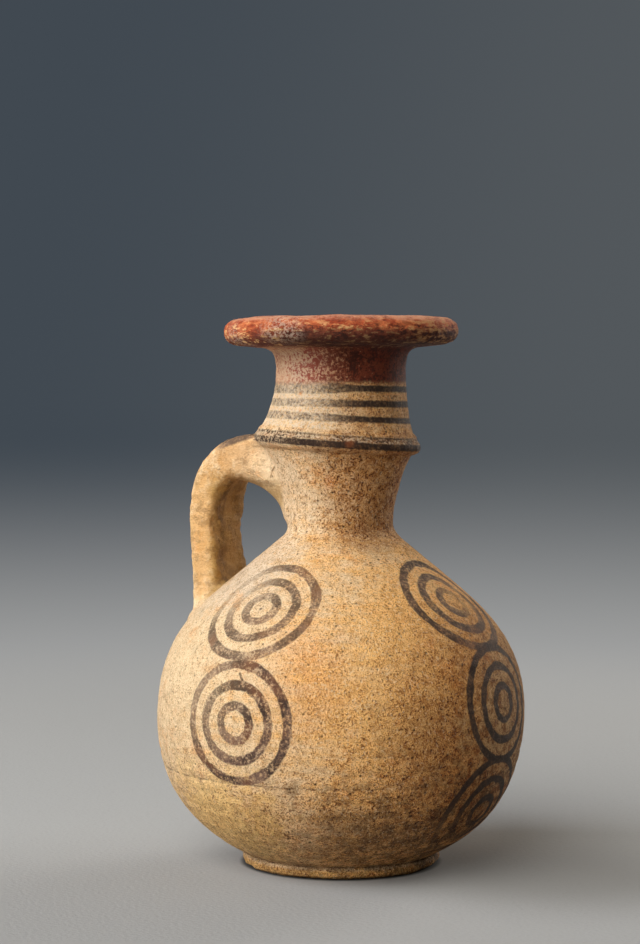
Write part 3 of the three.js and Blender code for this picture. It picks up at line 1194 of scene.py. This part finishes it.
@dataclass(frozen=True)
class RedSlip:
    """Red slip over the rim and the top of the neck, worn through and crusted in places, with painted
    shade under the rim and on the rim's lower front.
    """

    red: Colour = tint(174, 70, 34)
    deep_with_painted_shade: Colour = tint(102, 36, 16)
    bright: Colour = tint(218, 118, 68)
    rose: Colour = tint(178, 88, 70)
    pale: Colour = tint(236, 192, 146)
    scuffed: Colour = tint(244, 190, 126)
    ochre: Colour = tint(200, 146, 90)
    crust_and_painted_shade: Colour = tint(60, 26, 14)
    chalk: Colour = tint(222, 198, 172)
    worn_top: Colour = tint(226, 168, 136)
    left_side: float = -152.0
    crusted_shade_side: float = -35.0
    neck_edge: Point2 = (95.9, 97.1)
    rim_edge: Point2 = (103.2, 103.8)
    throat_edge: Point2 = (104.6, 105.8)
    crust_and_shade_edge: Point2 = (106.2, 107.8)
    top_edge: Point2 = (108.2, 109.3)
    chalk_patches: tuple[tuple[Point3, float, float], ...] = (
        ((-1.0, -23.0, 106.8), 1.6, 7.0),
        ((-14.0, -17.0, 104.6), 1.2, 6.0),
        ((-3.0, -13.0, 98.0), 1.5, 8.5),
    )

    def lay(self, recipe: Recipe, coat: Coat) -> Coat:
        """Lays the slip, its wear, its crust and its painted shade.

        Args:
            recipe: The tree to build in.
            coat: What lies below.

        Returns:
            The slipped coat.
        """
        grain = recipe.noise(0.55, 51.0, detail=3.0, rough=0.7)
        patchy = recipe.noise(3.0, 52.0, detail=6.0, rough=0.66)
        streak = recipe.noise(1.3, 55.0, detail=6.0, rough=0.72, stretch=(0.3, 0.3, 1.3))
        pocked = recipe.noise(1.0, 54.0, detail=5.0, rough=0.72, stretch=(0.5, 0.5, 1.3))
        pocked = pocked * 0.75 + streak * 0.25
        crown = 1.0 - (recipe.z + (patchy - 0.5) * 3.0).rise(106.9, 108.3) * 0.6
        ragged = (grain - 0.5) * 1.8 + (patchy - 0.5) * 2.4
        left = recipe.towards(self.left_side)
        rubbed = (left + ragged * 2.6).rise(-4.0, 15.0)
        outside = recipe.outside()
        neck = (recipe.z + ragged * 0.7).rise(*self.neck_edge) * outside
        gaps = grain.rise(0.44, 0.56)
        lip = (recipe.z + ragged * 0.9).rise(*self.throat_edge)
        rim = recipe.z.rise(*self.rim_edge) * outside.most(lip)
        cover = (neck * (1.0 - rubbed * (0.05 + gaps * 0.7))).most(rim)
        tone = recipe.mix((streak * 0.6 + patchy * 0.5).rise(0.46, 0.64), self.red, self.bright)
        # Deeper below the rim's nose: partly the slip's own darker tone, partly painted shade under the
        # rim.
        tone = recipe.mix((recipe.z + ragged * 0.8).fall(104.4, 106.8) * 0.85, tone, self.deep_with_painted_shade)
        tone = recipe.mix((1.0 - rim) * (left + ragged * 3.0).rise(-2.0, 9.0), tone, self.rose)
        murky = (grain * 0.6 + patchy * 0.4).fall(0.46, 0.54) * (1.0 - rim) * left.fall(-3.0, 5.0)
        tone = recipe.mix(murky * 0.85, tone, self.crust_and_painted_shade)
        colour = recipe.mix(cover, coat.colour, tone)
        through = (grain * 0.7 + patchy * 0.3 + left * 0.012).rise(0.55, 0.61) * (1.0 - rim)
        colour = recipe.mix(neck * through * 0.5, colour, self.pale)
        cracked = rim * crown * pocked.fall(0.43, 0.48) * (0.9 - left.rise(0.0, 16.0) * 0.5)
        colour = recipe.mix(cracked, colour, self.crust_and_painted_shade)
        colour = recipe.mix(rim * crown * pocked.rise(0.53, 0.58) * 0.95, colour, self.scuffed)
        # Crust with painted shade on the rim's lower front, which faces down and away from the lamps.
        facing = (recipe.towards(self.crusted_shade_side) + ragged * 4.0).rise(2.0, 16.0)
        crusted_painted_shade_zone = facing * rim * (recipe.z + ragged * 0.9).fall(*self.crust_and_shade_edge)
        colour = recipe.mix(crusted_painted_shade_zone * 0.7, colour, self.crust_and_painted_shade)
        far_end = (recipe.towards(10.0) + ragged * 2.0).rise(17.0, 22.5) * rim
        colour = recipe.mix(far_end * pocked.rise(0.48, 0.55) * 0.8, colour, self.ochre)
        top = (recipe.z + ragged * 0.3).rise(*self.top_edge)
        polished = (streak * 0.5 + patchy * 0.5).rise(0.42, 0.6)
        colour = recipe.mix(top * (0.2 + gaps * 0.3 + polished * 0.35), colour, self.worn_top)
        patches = [
            (recipe.away(centre) + ragged * loose).fall(1.0, reach)
            for centre, loose, reach in self.chalk_patches
        ]
        chalky = most_of(patches) * grain.rise(0.45, 0.55)
        colour = recipe.mix(chalky * 0.48, colour, self.chalk)
        height = coat.height + grain * 0.2 + rim * (pocked * 0.8 + streak * 0.5) + crusted_painted_shade_zone * grain * 0.15
        return Coat(colour, height, coat.rough - cover * 0.05)


@dataclass(frozen=True)
class RidgePaint:
    """Black paint over the ridge: solid on its crest, rubbed pale along the slope above."""

    lower: float = 83.8
    crest: float = 85.1
    upper: float = 86.4
    brush: Brush = Brush(dark=tint(54, 33, 20), thin=tint(92, 62, 40), rusty=tint(88, 50, 28))
    chalk: Colour = tint(224, 204, 174)
    rust: Colour = tint(150, 78, 34)
    rust_at: Point3 = (8.9, -13.2, 84.6)
    rubbed_side: float = -150.0
    slant: float = HandWork().ridge_slant

    def lay(self, recipe: Recipe, coat: Coat) -> Coat:
        """Paints the ridge.

        Args:
            recipe: The tree to build in.
            coat: What lies below.

        Returns:
            The painted coat.
        """
        level = recipe.z - recipe.towards(PICTURE_RIGHT) * self.slant
        grain = recipe.noise(0.5, 61.0, detail=3.0, rough=0.68)
        drawn = recipe.noise(1.2, 62.0, detail=5.0, rough=0.7, stretch=(0.25, 0.25, 1.6))
        ragged = (recipe.noise(1.6, 63.0, detail=5.0, rough=0.65) - 0.5) * 0.7
        cover = (level + ragged).rise(self.lower - 0.2, self.lower + 0.2)
        cover = cover * (level + ragged).fall(self.upper - 0.2, self.upper + 0.2)
        slope = (level + ragged * 0.6).rise(self.crest - 0.15, self.crest + 0.25)
        edge = abs(level + ragged * 0.6 - self.upper + 0.25).fall(0.1, 0.32)
        left = (recipe.towards(self.rubbed_side) + ragged * 5.0).rise(9.5, 14.5)
        rubbed = slope * (1.0 - edge * 0.5) * (drawn * 0.6 + grain * 0.4).rise(0.4, 0.54)
        rubbed = (rubbed + left * grain.rise(0.46, 0.56) * 0.5).least(1.0)
        cover = cover * recipe.outside()
        painted = self.brush.stroke(recipe, coat, cover * (1.0 - rubbed * 0.7), 0.7 - rubbed * 0.7)
        rust = (recipe.away(self.rust_at) + ragged * 2.0).fall(0.2, 1.4) * cover
        painted.colour = recipe.mix(rust * 0.55, painted.colour, self.rust)
        film = cover * rubbed * grain.rise(0.46, 0.6)
        painted.colour = recipe.mix(film * 0.55, painted.colour, self.chalk)
        return painted


@dataclass(frozen=True)
class HandleStroke:
    """One dark brush stroke across the top of the handle, beside the ridge."""

    brush: Brush = Brush(dark=tint(70, 56, 50), thin=tint(116, 94, 82))

    def lay(self, recipe: Recipe, coat: Coat) -> Coat:
        """Paints the stroke.

        Args:
            recipe: The tree to build in.
            coat: What lies below.

        Returns:
            The painted coat.
        """
        ragged = (recipe.noise(1.4, 71.0, detail=3.0) - 0.5) * 1.2
        top = (recipe.z - (recipe.x + 17.5) * 0.3 + ragged * 0.3).rise(84.9, 85.5)
        cover = top * (recipe.x + ragged).rise(-25.6, -23.6) * recipe.x.fall(-15.4, -14.4)
        return self.brush.stroke(recipe, coat, cover * 0.85)


class Finishes:
    """The five materials of the pot, all on the same clay."""

    gloss: float = 0.3

    def __init__(self) -> None:
        """Builds each material once."""
        clay = ClayBody()
        self.made: dict[Slot, Material] = {}
        for slot, layers in {
            Slot.BUFF: (HandleStroke(),),
            Slot.CIRCLES: (PaintedCircles(),),
            Slot.BANDS: (NeckBands(), RedSlip()),
            Slot.RED: (RedSlip(),),
            Slot.BLACK: (RidgePaint(),),
        }.items():
            recipe = Recipe(bpy.data.materials.new(slot.value))
            coat = clay.lay(recipe)
            for layer in layers:
                coat = layer.lay(recipe, coat)
            self.made[slot] = recipe.end(recipe.matt(coat, self.gloss))

    def dress(self, piece: Object, node: str, slot: Slot) -> Object:
        """Gives a piece its finish and its place in the model.

        Args:
            piece: The finished mesh.
            node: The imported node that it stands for.
            slot: Its finish.

        Returns:
            The piece.
        """
        take_hold(piece)
        bpy.ops.object.shade_smooth_by_angle(angle=SMOOTH_ANGLE)
        piece.data.materials.clear()
        piece.data.materials.append(self.made[slot])
        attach(piece, "root")
        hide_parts(node)
        return piece


@dataclass
class Container:
    """The disc foot and the globular body."""

    around: int = 288
    foot_radius: float = 19.9
    foot_underside: float = 18.8
    foot_seat: float = 19.3
    foot_height: float = 2.3
    belly_radius: float = 37.0
    belly_height: float = 30.5
    wall: float = 3.6
    floor_top: float = 6.9
    shoulder: Point2 = (14.0, 63.8)
    mouth: float = 11.0
    groove_heights: tuple[float, ...] = (20.4, 23.3)
    groove_depth: float = 0.2
    groove_width: float = 0.32
    mark_depth: float = 0.028
    unevenness: float = 0.16
    chip_depth: float = 0.8

    def outside(self, step: float) -> Section:
        """The body's outside from the foot to the neck.

        Args:
            step: How far apart its points lie.

        Returns:
            The section.
        """
        side = Section((self.foot_seat, self.foot_height), step)
        side.curve((23.0, 4.3), (self.belly_radius, 10.2), (self.belly_radius, self.belly_height))
        side.curve((self.belly_radius, 47.0), (27.9, 51.9), self.shoulder)
        return side

    def inside(self) -> list[Point2]:
        """The body's hollow, from its mouth down to the floor.

        Returns:
            Its points.
        """
        path = np.array(self.outside(1.6).points)
        along = np.gradient(path, axis=0)
        along /= np.linalg.norm(along, axis=1, keepdims=True)
        hollow = path + np.stack([-along[:, 1], along[:, 0]], axis=1) * self.wall
        kept = [(float(r), float(z)) for r, z in hollow[::-1] if z > self.floor_top and r > self.mouth]
        return [*kept, (kept[-1][0] - 1.2, self.floor_top), (0.0, self.floor_top)]

    def build_foot(self) -> Object:
        """Models the foot, with a worn and chipped edge.

        Returns:
            The foot.
        """
        section = Section((0.0, 0.0), 3.0).line(self.foot_underside - 2.0, 0.0).every(0.25)
        section.line(self.foot_underside, 0.0).curve((self.foot_radius, 0.2), (self.foot_radius, 1.3))
        section.curve((self.foot_radius, 2.0), (self.foot_seat, self.foot_height)).line(18.4, 2.4)
        section.every(3.0).line(0.0, 2.4)
        foot = turned("juglet_foot", section, self.around)
        edge = smooth_step(radii_of(foot), 18.0, 19.2)
        roughen(foot, Grain.LUMPS, 11.0, self.chip_depth, edge)
        roughen(foot, Grain.PITS, 4.2, 0.35, edge)
        roughen(foot, Grain.LUMPS, 1.2, 0.35, edge)
        places = vertices_of(foot)
        places[:, 2] = np.maximum(places[:, 2], 0.0)
        move_vertices(foot, places)
        return foot

    def build_body(self, luting: Luting) -> Object:
        """Models the body with its hollow, throwing marks and grooves.

        Args:
            luting: Fills the corner at the foot of the handle.

        Returns:
            The body.
        """
        outside = self.outside(0.44).points
        section = Section((0.0, 1.9), 3.0).line(17.6, 1.9).every(0.4).line(18.7, 2.1).follow(outside)
        section.every(0.8).line(self.mouth, self.shoulder[1]).follow(self.inside())
        body = turned("juglet_body", section, self.around)
        places = vertices_of(body)
        outer = np.abs(luting.wall_distance(places)) < 0.25
        outer &= places[:, 2] > self.foot_height - 0.05
        smeared = luting.smear(places, outward_of(body))
        places[outer] = smeared[outer]
        height = places[:, 2]
        fade = smooth_step(height, 3.0, 6.0) * smooth_step(height, self.shoulder[1], 60.5) * outer
        angle = np.arctan2(places[:, 1], places[:, 0])
        marks = np.sin(height * 2.1 + 0.8 * np.sin(angle + 1.0)) + 0.7 * np.sin(height * 3.7 + 2.0)
        inward = -self.mark_depth * marks * (0.6 + 0.6 * waves(places, 30.0, 5))
        for number, level in enumerate(self.groove_heights):
            strength = np.clip(0.55 + 0.6 * waves(places, 26.0, 11 + number), 0.0, 1.0)
            inward += self.groove_depth * strength * np.exp(-(((height - level) / self.groove_width) ** 2))
        inward -= self.unevenness * waves(places, 24.0, 3)
        radial = np.stack([np.cos(angle), np.sin(angle), np.zeros_like(angle)], axis=1)
        move_vertices(body, places - radial * (inward * fade)[:, None])
        roughen(body, Grain.LUMPS, 2.4, 0.14, fade)
        return body


@dataclass
class Neck:
    """The two halves of the neck, the ridge between them and the disc rim."""

    hand: HandWork
    shoulder: Point2
    around: int = 288
    throat: Point2 = (10.5, 68.3)
    bore: float = 7.2
    ridge_bore: float = 10.7
    ridge_seat: Point2 = (14.8, 82.8)
    ridge_radius: float = 16.7
    ridge_top: Point2 = (15.2, 87.3)
    collar: Point2 = (13.0, 99.0)
    collar_top: Point2 = (13.7, 102.6)
    collar_bore: float = 9.8
    rim_radius: float = 23.4
    rim_nose: float = 106.9
    rim_crown: float = 19.0
    rim_height: float = 109.6
    rim_corner: Point2 = (19.6, 104.0)

    def lower_side(self, step: float) -> Section:
        """The outside of the lower neck, from the shoulder to the ridge."""
        side = Section(self.shoulder, step).curve((12.3, 65.3), (self.throat[0], 66.3), self.throat)
        return side.curve((self.throat[0], 73.0), (12.4, 78.4), self.ridge_seat)

    def ridge_side(self, step: float) -> Section:
        """The outside of the ridge, with the shallow dip above its crest.

        Args:
            step: How far apart its points lie.

        Returns:
            The section.
        """
        side = Section(self.ridge_seat, step)
        side.curve((16.5, 83.3), (self.ridge_radius, self.hand.ridge_height - 0.5))
        side.curve((16.75, 85.3), (16.3, 85.7))
        return side.curve((16.1, 85.95), (16.05, 86.2), (16.1, 86.7), self.ridge_top)

    def upper_side(self, step: float) -> Section:
        """The outside of the upper neck, from the ridge to the rim."""
        side = Section(self.ridge_top, step).curve((14.3, 89.0), (self.collar[0], 94.0), self.collar)
        return side.curve((self.collar[0], 101.4), self.collar_top)

    def wall(self) -> list[Point2]:
        """The whole outside from the shoulder to the rim."""
        sides = (self.lower_side(0.5), self.ridge_side(0.5), self.upper_side(0.5))
        return [self.shoulder, *(point for side in sides for point in side.points[1:])]

    def settle(self, piece: Object, joints: Point2, luting: Luting | None) -> np.ndarray:
        """Pulls a turned member into its hand-made place and fills its corners.

        Args:
            piece: The turned member.
            joints: The heights where it meets its neighbours.
            luting: Fills the corner at the root of the handle, if it comes near.

        Returns:
            How much unevenness each vertex may have, from 0 at the joints to 1.
        """
        places = vertices_of(piece)
        room = 0.3 * (joints[1] - joints[0])
        open_share = smooth_step(places[:, 2], joints[0], joints[0] + min(2.0, room))
        open_share = open_share * smooth_step(places[:, 2], joints[1], joints[1] - min(2.0, room))
        places = places + self.hand.offset(places)
        if luting is not None:
            outer = np.abs(luting.wall_distance(places)) < 0.3
            smeared = luting.smear(places, outward_of(piece))
            places[outer] = smeared[outer]
            open_share = open_share * outer
        move_vertices(piece, places)
        return open_share

    def build_lower(self, luting: Luting) -> Object:
        """Models the lower neck.

        Args:
            luting: Fills the corner at the root of the handle.

        Returns:
            The lower neck.
        """
        section = Section((8.0, 61.4), 0.8).line(10.7, 61.4).line(10.7, self.shoulder[1])
        section.line(*self.shoulder).follow(self.lower_side(0.34).points[1:])
        section.every(1.2).line(self.ridge_bore, 84.6)
        section.curve((10.2, 79.0), (self.bore, 75.0), (self.bore, self.throat[1]))
        section.line(self.bore, 62.2).line(8.0, 61.4)
        piece = turned("juglet_lower_neck", section, self.around)
        share = self.settle(piece, (self.shoulder[1], self.ridge_seat[1]), luting)
        roughen(piece, Grain.LUMPS, 6.0, 0.34, share)
        roughen(piece, Grain.LUMPS, 1.6, 0.14, share)
        return piece

    def build_ridge(self, luting: Luting) -> Object:
        """Models the ridge with its worn crest.

        Args:
            luting: Fills the corner at the root of the handle.

        Returns:
            The ridge.
        """
        section = self.ridge_side(0.22).every(1.2).line(self.ridge_bore, 86.9)
        section.line(self.ridge_bore, 84.6).line(*self.ridge_seat)
        piece = turned("juglet_ridge", section, self.around)
        share = self.settle(piece, (self.ridge_seat[1], self.ridge_top[1]), luting)
        roughen(piece, Grain.LUMPS, 3.6, 0.5, share)
        roughen(piece, Grain.LUMPS, 1.0, 0.26, share)
        return piece

    def build_upper(self) -> Object:
        """Models the upper neck.

        Returns:
            The upper neck.
        """
        section = self.upper_side(0.34).every(1.2)
        section.line(self.collar_bore, 103.6).line(self.collar_bore, self.collar[1])
        section.curve((self.collar_bore, 95.0), (self.ridge_bore, 91.0), (self.ridge_bore, 86.9))
        section.line(*self.ridge_top)
        piece = turned("juglet_upper_neck", section, self.around)
        share = self.settle(piece, (self.ridge_top[1], self.collar_top[1]), None)
        share = share * (radii_of(piece) > 12.0)
        roughen(piece, Grain.LUMPS, 6.0, 0.3, share)
        roughen(piece, Grain.LUMPS, 1.2, 0.2, share)
        return piece

    def build_rim(self) -> Object:
        """Models the rim, lumpy round its edge.

        Returns:
            The rim.
        """
        section = Section(self.collar_top, 0.3).curve((14.4, 103.6), (16.4, 103.7)).line(*self.rim_corner)
        section.curve((22.4, 104.3), (self.rim_radius, 105.2), (self.rim_radius, self.rim_nose))
        section.curve((self.rim_radius, 108.5), (22.0, self.rim_height), (self.rim_crown, self.rim_height))
        section.every(0.5).curve((16.0, self.rim_height), (10.6, 109.0), (self.collar_bore, 105.6))
        section.every(1.0).line(self.collar_bore, 103.6).line(*self.collar_top)
        piece = turned("juglet_rim", section, self.around + 48)
        self.settle(piece, (self.collar_top[1], self.rim_height + 4.0), None)
        share = smooth_step(radii_of(piece), 14.6, 17.0)
        edge = smooth_step(radii_of(piece), 19.0, 22.0)
        roughen(piece, Grain.LUMPS, 9.0, 0.5, share)
        roughen(piece, Grain.LUMPS, 3.0, 0.4, edge)
        roughen(piece, Grain.LUMPS, 0.9, 0.45, edge)
        return piece


@dataclass
class Handle:
    """The pulled strap, the web of clay below its root and the pad at its foot."""

    around: int = 72
    wad_around: int = 56
    strap: Ribbon = Ribbon(
        line=(
            (-11.8, 80.7),
            (-17.5, 81.9),
            (-23.2, 81.0),
            (-27.6, 76.9),
            (-29.2, 70.0),
            (-28.7, 61.0),
            (-28.1, 52.0),
            (-27.7, 46.5),
        ),
        thickness=(8.8, 8.7, 8.0, 7.1, 6.8, 6.8, 6.8, 6.8, 6.8, 7.3, 7.8),
        width=(14.0, 13.9, 13.6, 13.1, 13.0, 13.0, 13.0, 13.0, 13.0, 13.5, 14.0),
        squareness=5.2,
    )
    root_wad: Ribbon = Ribbon(
        line=((-7.5, 71.5), (-9.6, 74.6), (-12.3, 77.0), (-15.6, 79.0), (-19.5, 80.6)),
        thickness=(7.6, 7.6),
        width=(10.0, 10.0),
        squareness=3.0,
        stations=60,
    )
    base_wad: Lump = Lump((-28.1, 0.0, 50.4), (7.6, 9.2, 2.1), math.radians(-45.0))
    facet_turn: float = math.radians(66.0)
    facet_depth: float = 3.1

    def members(self) -> tuple[Ribbon | Lump, ...]:
        """The three shapes that are luted to the pot."""
        return (self.strap, self.root_wad, self.base_wad)

    def build_strap(self, luting: Luting) -> Object:
        """Models the strap with its nicked inner corners and lumpy inner face.

        Args:
            luting: Fills its corners at both ends.

        Returns:
            The strap.
        """
        piece = pulled("juglet_handle_strap", self.strap, self.around)
        places = self.pare(vertices_of(piece))
        move_vertices(piece, places)
        smeared = luting.smear(places, outward_of(piece))
        move_vertices(piece, smeared)
        clear = smooth_step(luting.wall_distance(smeared), 0.5, 4.0)
        inner = smooth_step(smeared[:, 0], -28.0, -26.0) * smooth_step(smeared[:, 2], 80.0, 76.0)
        roughen(piece, Grain.LUMPS, 9.0, 0.6, clear)
        roughen(piece, Grain.LUMPS, 4.5, 1.4, clear * inner)
        roughen(piece, Grain.PITS, 3.4, 0.6, clear * inner)
        roughen(piece, Grain.LUMPS, 1.6, 0.45, clear)
        return piece

    def pare(self, places: np.ndarray) -> np.ndarray:
        """Cuts the strap's inner corners away in two uneven facets, as a wet finger does.

        Args:
            places: The strap's points, one to a row.

        Returns:
            The pared points.
        """
        number, here, out = self.strap.nearest(places)
        run = number[:, None] * np.array([[0.55, 0.0, 0.0]])
        nick = 0.3 * waves(run, 8.0, 8) + 0.22 * waves(run, 3.6, 9) + 0.12 * waves(run, 1.7, 10)
        share = smooth_step(number / self.strap.stations, 0.16, 0.34)
        across = np.abs(places[:, 1])
        turn_in, turn_side = math.cos(self.facet_turn), math.sin(self.facet_turn)
        edge = (here[:, 4] - self.facet_depth) * turn_in + here[:, 5] * turn_side + nick
        over = np.maximum(-out * turn_in + across * turn_side - edge, 0.0) * share
        over = over * np.where(places[:, 1] < 0.0, 1.0, 0.6)
        inward = over * turn_in
        cut = [here[:, 2] * inward, -np.sign(places[:, 1]) * over * turn_side, here[:, 3] * inward]
        return places + np.stack(cut, axis=1)

    def build_root_wad(self, luting: Luting) -> Object:
        """Models the web of clay under the strap's root."""
        return luted(pulled("juglet_handle_root_wad", self.root_wad, self.wad_around), luting)

    def build_base_wad(self, luting: Luting) -> Object:
        """Models the pad pressed round the strap's foot."""
        return luted(pressed("juglet_handle_base_wad", self.base_wad), luting)


@dataclass(frozen=True)
class Lamp:
    """A round soft lamp, placed by its direction as the camera sees it: right, nearer and up."""

    name: str
    way: Point3
    distance: float
    size: float
    power: float
    colour: Point3
    aim: float = 0.05

    def build(self) -> Object:
        """Hangs the lamp so that it looks at the pot.

        Returns:
            The lamp.
        """
        right = Vector((math.cos(PICTURE_TURN), math.sin(PICTURE_TURN), 0.0))
        nearer = Vector((math.sin(PICTURE_TURN), -math.cos(PICTURE_TURN), 0.0))
        way = right * self.way[0] + nearer * self.way[1] + Vector((0.0, 0.0, self.way[2]))
        way.normalize()
        light = bpy.data.lights.new(self.name, "AREA")
        light.shape = "DISK"
        light.size = self.size
        light.energy = self.power
        light.color = self.colour
        holder = bpy.data.objects.new(self.name, light)
        holder.location = Vector((0.0, 0.0, self.aim)) + way * self.distance
        holder.rotation_euler = (-way).to_track_quat("-Z", "Y").to_euler()
        bpy.context.scene.collection.objects.link(holder)
        return holder


@dataclass(frozen=True)
class Studio:
    """A pale floor that fades into a slate-grey distance, soft lamps and a dim warm surround."""

    floor_left: Colour = tint(158, 158, 157)
    floor_right: Colour = tint(165, 165, 164)
    floor_near: Colour = tint(136, 135, 134)
    floor_mid: Colour = tint(168, 168, 167)
    floor_tooth: Colour = tint(120, 118, 114)
    painted_floor_shadow: Colour = tint(110, 108, 104)
    painted_contact_shadow: Colour = tint(34, 32, 30)
    painted_contact_shadow_edge: Point2 = (19.4, 20.8)
    painted_shadow_at: Point3 = (48.0, 5.0, 0.0)
    painted_shadow_reach: Point2 = (8.0, 46.0)
    lit_reach: Point2 = (170.0, 430.0)
    lit_radius: float = 400.0
    far_times: float = 30.0
    sunk: float = 0.05
    # The camera's height in millimetres times its focal length in pixels, and its distance in millimetres.
    depth_scale: float = 217700.0
    camera_reach: float = 462.0
    # Over these rows of pixels below the horizon the far colour turns into the floor's.
    haze_rows: Point2 = (40.0, 330.0)
    left_distance: Colour = tint(65, 73, 81)
    right_distance: Colour = tint(83, 88, 92)
    surround: Colour = (1.0, 0.72, 0.38, 1.0)
    surround_strength: float = 0.045
    lamps: tuple[Lamp, ...] = (
        Lamp("key_lamp", (-0.86, 0.08, 0.46), 0.9, 0.55, 6.1, (0.97, 1.0, 1.05)),
        Lamp("front_lamp", (-0.47, 0.69, 0.55), 1.2, 1.3, 20.2, (1.0, 0.99, 0.96)),
        Lamp("top_lamp", (0.3, 0.0, 1.0), 1.0, 1.2, 1.2, (1.0, 0.98, 0.94)),
        Lamp("rim_lamp", (0.74, -0.88, 0.36), 1.1, 0.5, 5.8, (1.0, 0.96, 0.9)),
    )

    def build_floor(self) -> Object:
        """Lays the floor: lit near the pot, and fading by itself further off.

        Returns:
            The floor, marked as stage.
        """
        bpy.ops.object.select_all(action="DESELECT")
        bpy.ops.mesh.primitive_circle_add(
            vertices=128, radius=self.lit_radius * MM, fill_type="TRIFAN", location=ORIGIN
        )
        floor = bpy.context.object
        floor.name = "studio_floor"
        bpy.ops.object.mode_set(mode="EDIT")
        bpy.ops.mesh.select_all(action="DESELECT")
        bpy.ops.mesh.select_mode(type="EDGE")
        bpy.ops.mesh.select_non_manifold()
        bpy.ops.mesh.extrude_edges_move()
        bpy.ops.transform.resize(value=(self.far_times, self.far_times, 1.0))
        bpy.ops.mesh.select_all(action="SELECT")
        bpy.ops.transform.translate(value=(0.0, 0.0, -self.sunk * MM))
        bpy.ops.mesh.select_mode(type="VERT")
        bpy.ops.object.mode_set(mode="OBJECT")
        floor.data.materials.append(self.floor_finish())
        floor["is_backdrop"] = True
        return floor

    def floor_finish(self) -> Material:
        """Makes the floor's material: matt near the pot, with painted shadows round the foot and beside
        it, and its own glow where the haze begins.

        Returns:
            The material.
        """
        recipe = Recipe(bpy.data.materials.new("studio_floor"))
        right, nearer = recipe.towards(PICTURE_RIGHT), recipe.towards(PICTURE_RIGHT - 90.0)
        tooth = recipe.noise(0.9, 81.0, detail=3.0)
        colour = recipe.mix(right.rise(-90.0, 90.0), self.floor_left, self.floor_right)
        colour = recipe.mix(nearer.rise(-40.0, 25.0) * 0.5, colour, self.floor_near)
        colour = recipe.mix((tooth - 0.5).rise(0.0, 0.25) * 0.14, colour, self.floor_tooth)
        # Painted contact shadow: a dark ring on the floor round the foot.
        colour = recipe.mix(recipe.radius.fall(*self.painted_contact_shadow_edge) * 0.85, colour, self.painted_contact_shadow)
        # Painted shadow: a dimmer patch on the floor to the right of the pot and nearer the camera.
        colour = recipe.mix(recipe.away(self.painted_shadow_at).fall(*self.painted_shadow_reach) * 0.45, colour, self.painted_floor_shadow)
        lit = recipe.matt(Coat(colour, tooth * 0.08, 0.9), 0.2)
        across = right / (recipe.radius + 1.0)
        far = recipe.mix(across.rise(-0.16, 0.14), self.left_distance, self.right_distance)
        rows = self.depth_scale / (recipe.radius + self.camera_reach)
        distant = recipe.mix(rows.rise(*self.haze_rows), far, self.floor_mid)
        haze = recipe.node("ShaderNodeEmission", {}, {"Color": distant}).outputs[0]
        return recipe.end(recipe.between(recipe.radius.rise(*self.lit_reach), lit, haze))

    def build_light(self) -> None:
        """Hangs the lamps and sets the surround, slate grey to the eye and a little paler to the right."""
        for lamp in self.lamps:
            lamp.build()
        sky = Recipe(bpy.data.worlds.new("studio_surround"))
        across = sky.towards(PICTURE_RIGHT) - sky.z * 0.25
        slate = sky.mix(across.rise(-160.0, 140.0), self.left_distance, self.right_distance)
        seen = sky.node("ShaderNodeBackground", {}, {"Color": slate}).outputs[0]
        dim = {"Color": self.surround, "Strength": self.surround_strength}
        lit = sky.node("ShaderNodeBackground", {}, dim).outputs[0]
        straight = sky.node("ShaderNodeLightPath").outputs["Is Camera Ray"]
        bpy.context.scene.world = sky.end(sky.between(straight, lit, seen))


@dataclass(frozen=True)
class PictureCamera:
    """A camera that stands where the photographer's did."""

    distance: float = 0.462
    height: float = 0.0949
    left: float = math.radians(0.52)
    down: float = math.radians(2.02)
    lens: float = 87.48
    sensor: float = 36.0
    clip: Point2 = (0.01, 60.0)

    def build(self) -> Object:
        """Sets the camera up.

        Returns:
            The camera.
        """
        data = bpy.data.cameras.new("picture_camera")
        data.lens = self.lens
        data.sensor_width = self.sensor
        data.clip_start, data.clip_end = self.clip
        camera = bpy.data.objects.new("picture_camera", data)
        turn = PICTURE_TURN
        camera.location = (math.sin(turn) * self.distance, -math.cos(turn) * self.distance, self.height)
        ahead = turn + self.left
        look = Vector((-math.sin(ahead), math.cos(ahead), 0.0)) * math.cos(self.down)
        look.z = -math.sin(self.down)
        camera.rotation_euler = look.to_track_quat("-Z", "Y").to_euler()
        bpy.context.scene.collection.objects.link(camera)
        bpy.context.scene.camera = camera
        return camera


def main() -> None:
    """Builds the camera, the stage and every member of the pot."""
    logging.basicConfig(level=logging.INFO, format="%(message)s")
    bpy.context.scene.view_settings.view_transform = "Standard"
    PictureCamera().build()
    studio = Studio()
    studio.build_floor()
    studio.build_light()
    finishes = Finishes()
    hand = HandWork()
    container, handle = Container(), Handle()
    neck = Neck(hand, container.shoulder)
    wall = (*container.outside(0.5).points, *neck.wall()[1:])
    luting = Luting(wall, hand, handle.members())
    for piece, node, slot in (
        (container.build_foot(), "foot_disc", Slot.BUFF),
        (container.build_body(luting), "body", Slot.CIRCLES),
        (neck.build_lower(luting), "lower_neck", Slot.BUFF),
        (neck.build_ridge(luting), "neck_ridge", Slot.BLACK),
        (neck.build_upper(), "upper_neck", Slot.BANDS),
        (neck.build_rim(), "rim_disc", Slot.RED),
        (handle.build_strap(luting), "handle_strap", Slot.BUFF),
        (handle.build_root_wad(luting), "handle_root_wad", Slot.BUFF),
        (handle.build_base_wad(luting), "handle_base_wad", Slot.BUFF),
    ):
        finishes.dress(piece, node, slot)
        LOG.info("%s stands for %s: %d faces, %s", piece.name, node, len(piece.data.polygons), slot.value)
    bpy.context.view_layer.update()
    boxes = {"cad": solid_box, "visual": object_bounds()}
    boxes = {name: [list(corner) for corner in box] for name, box in boxes.items()}


if __name__ == "__main__":
    main()
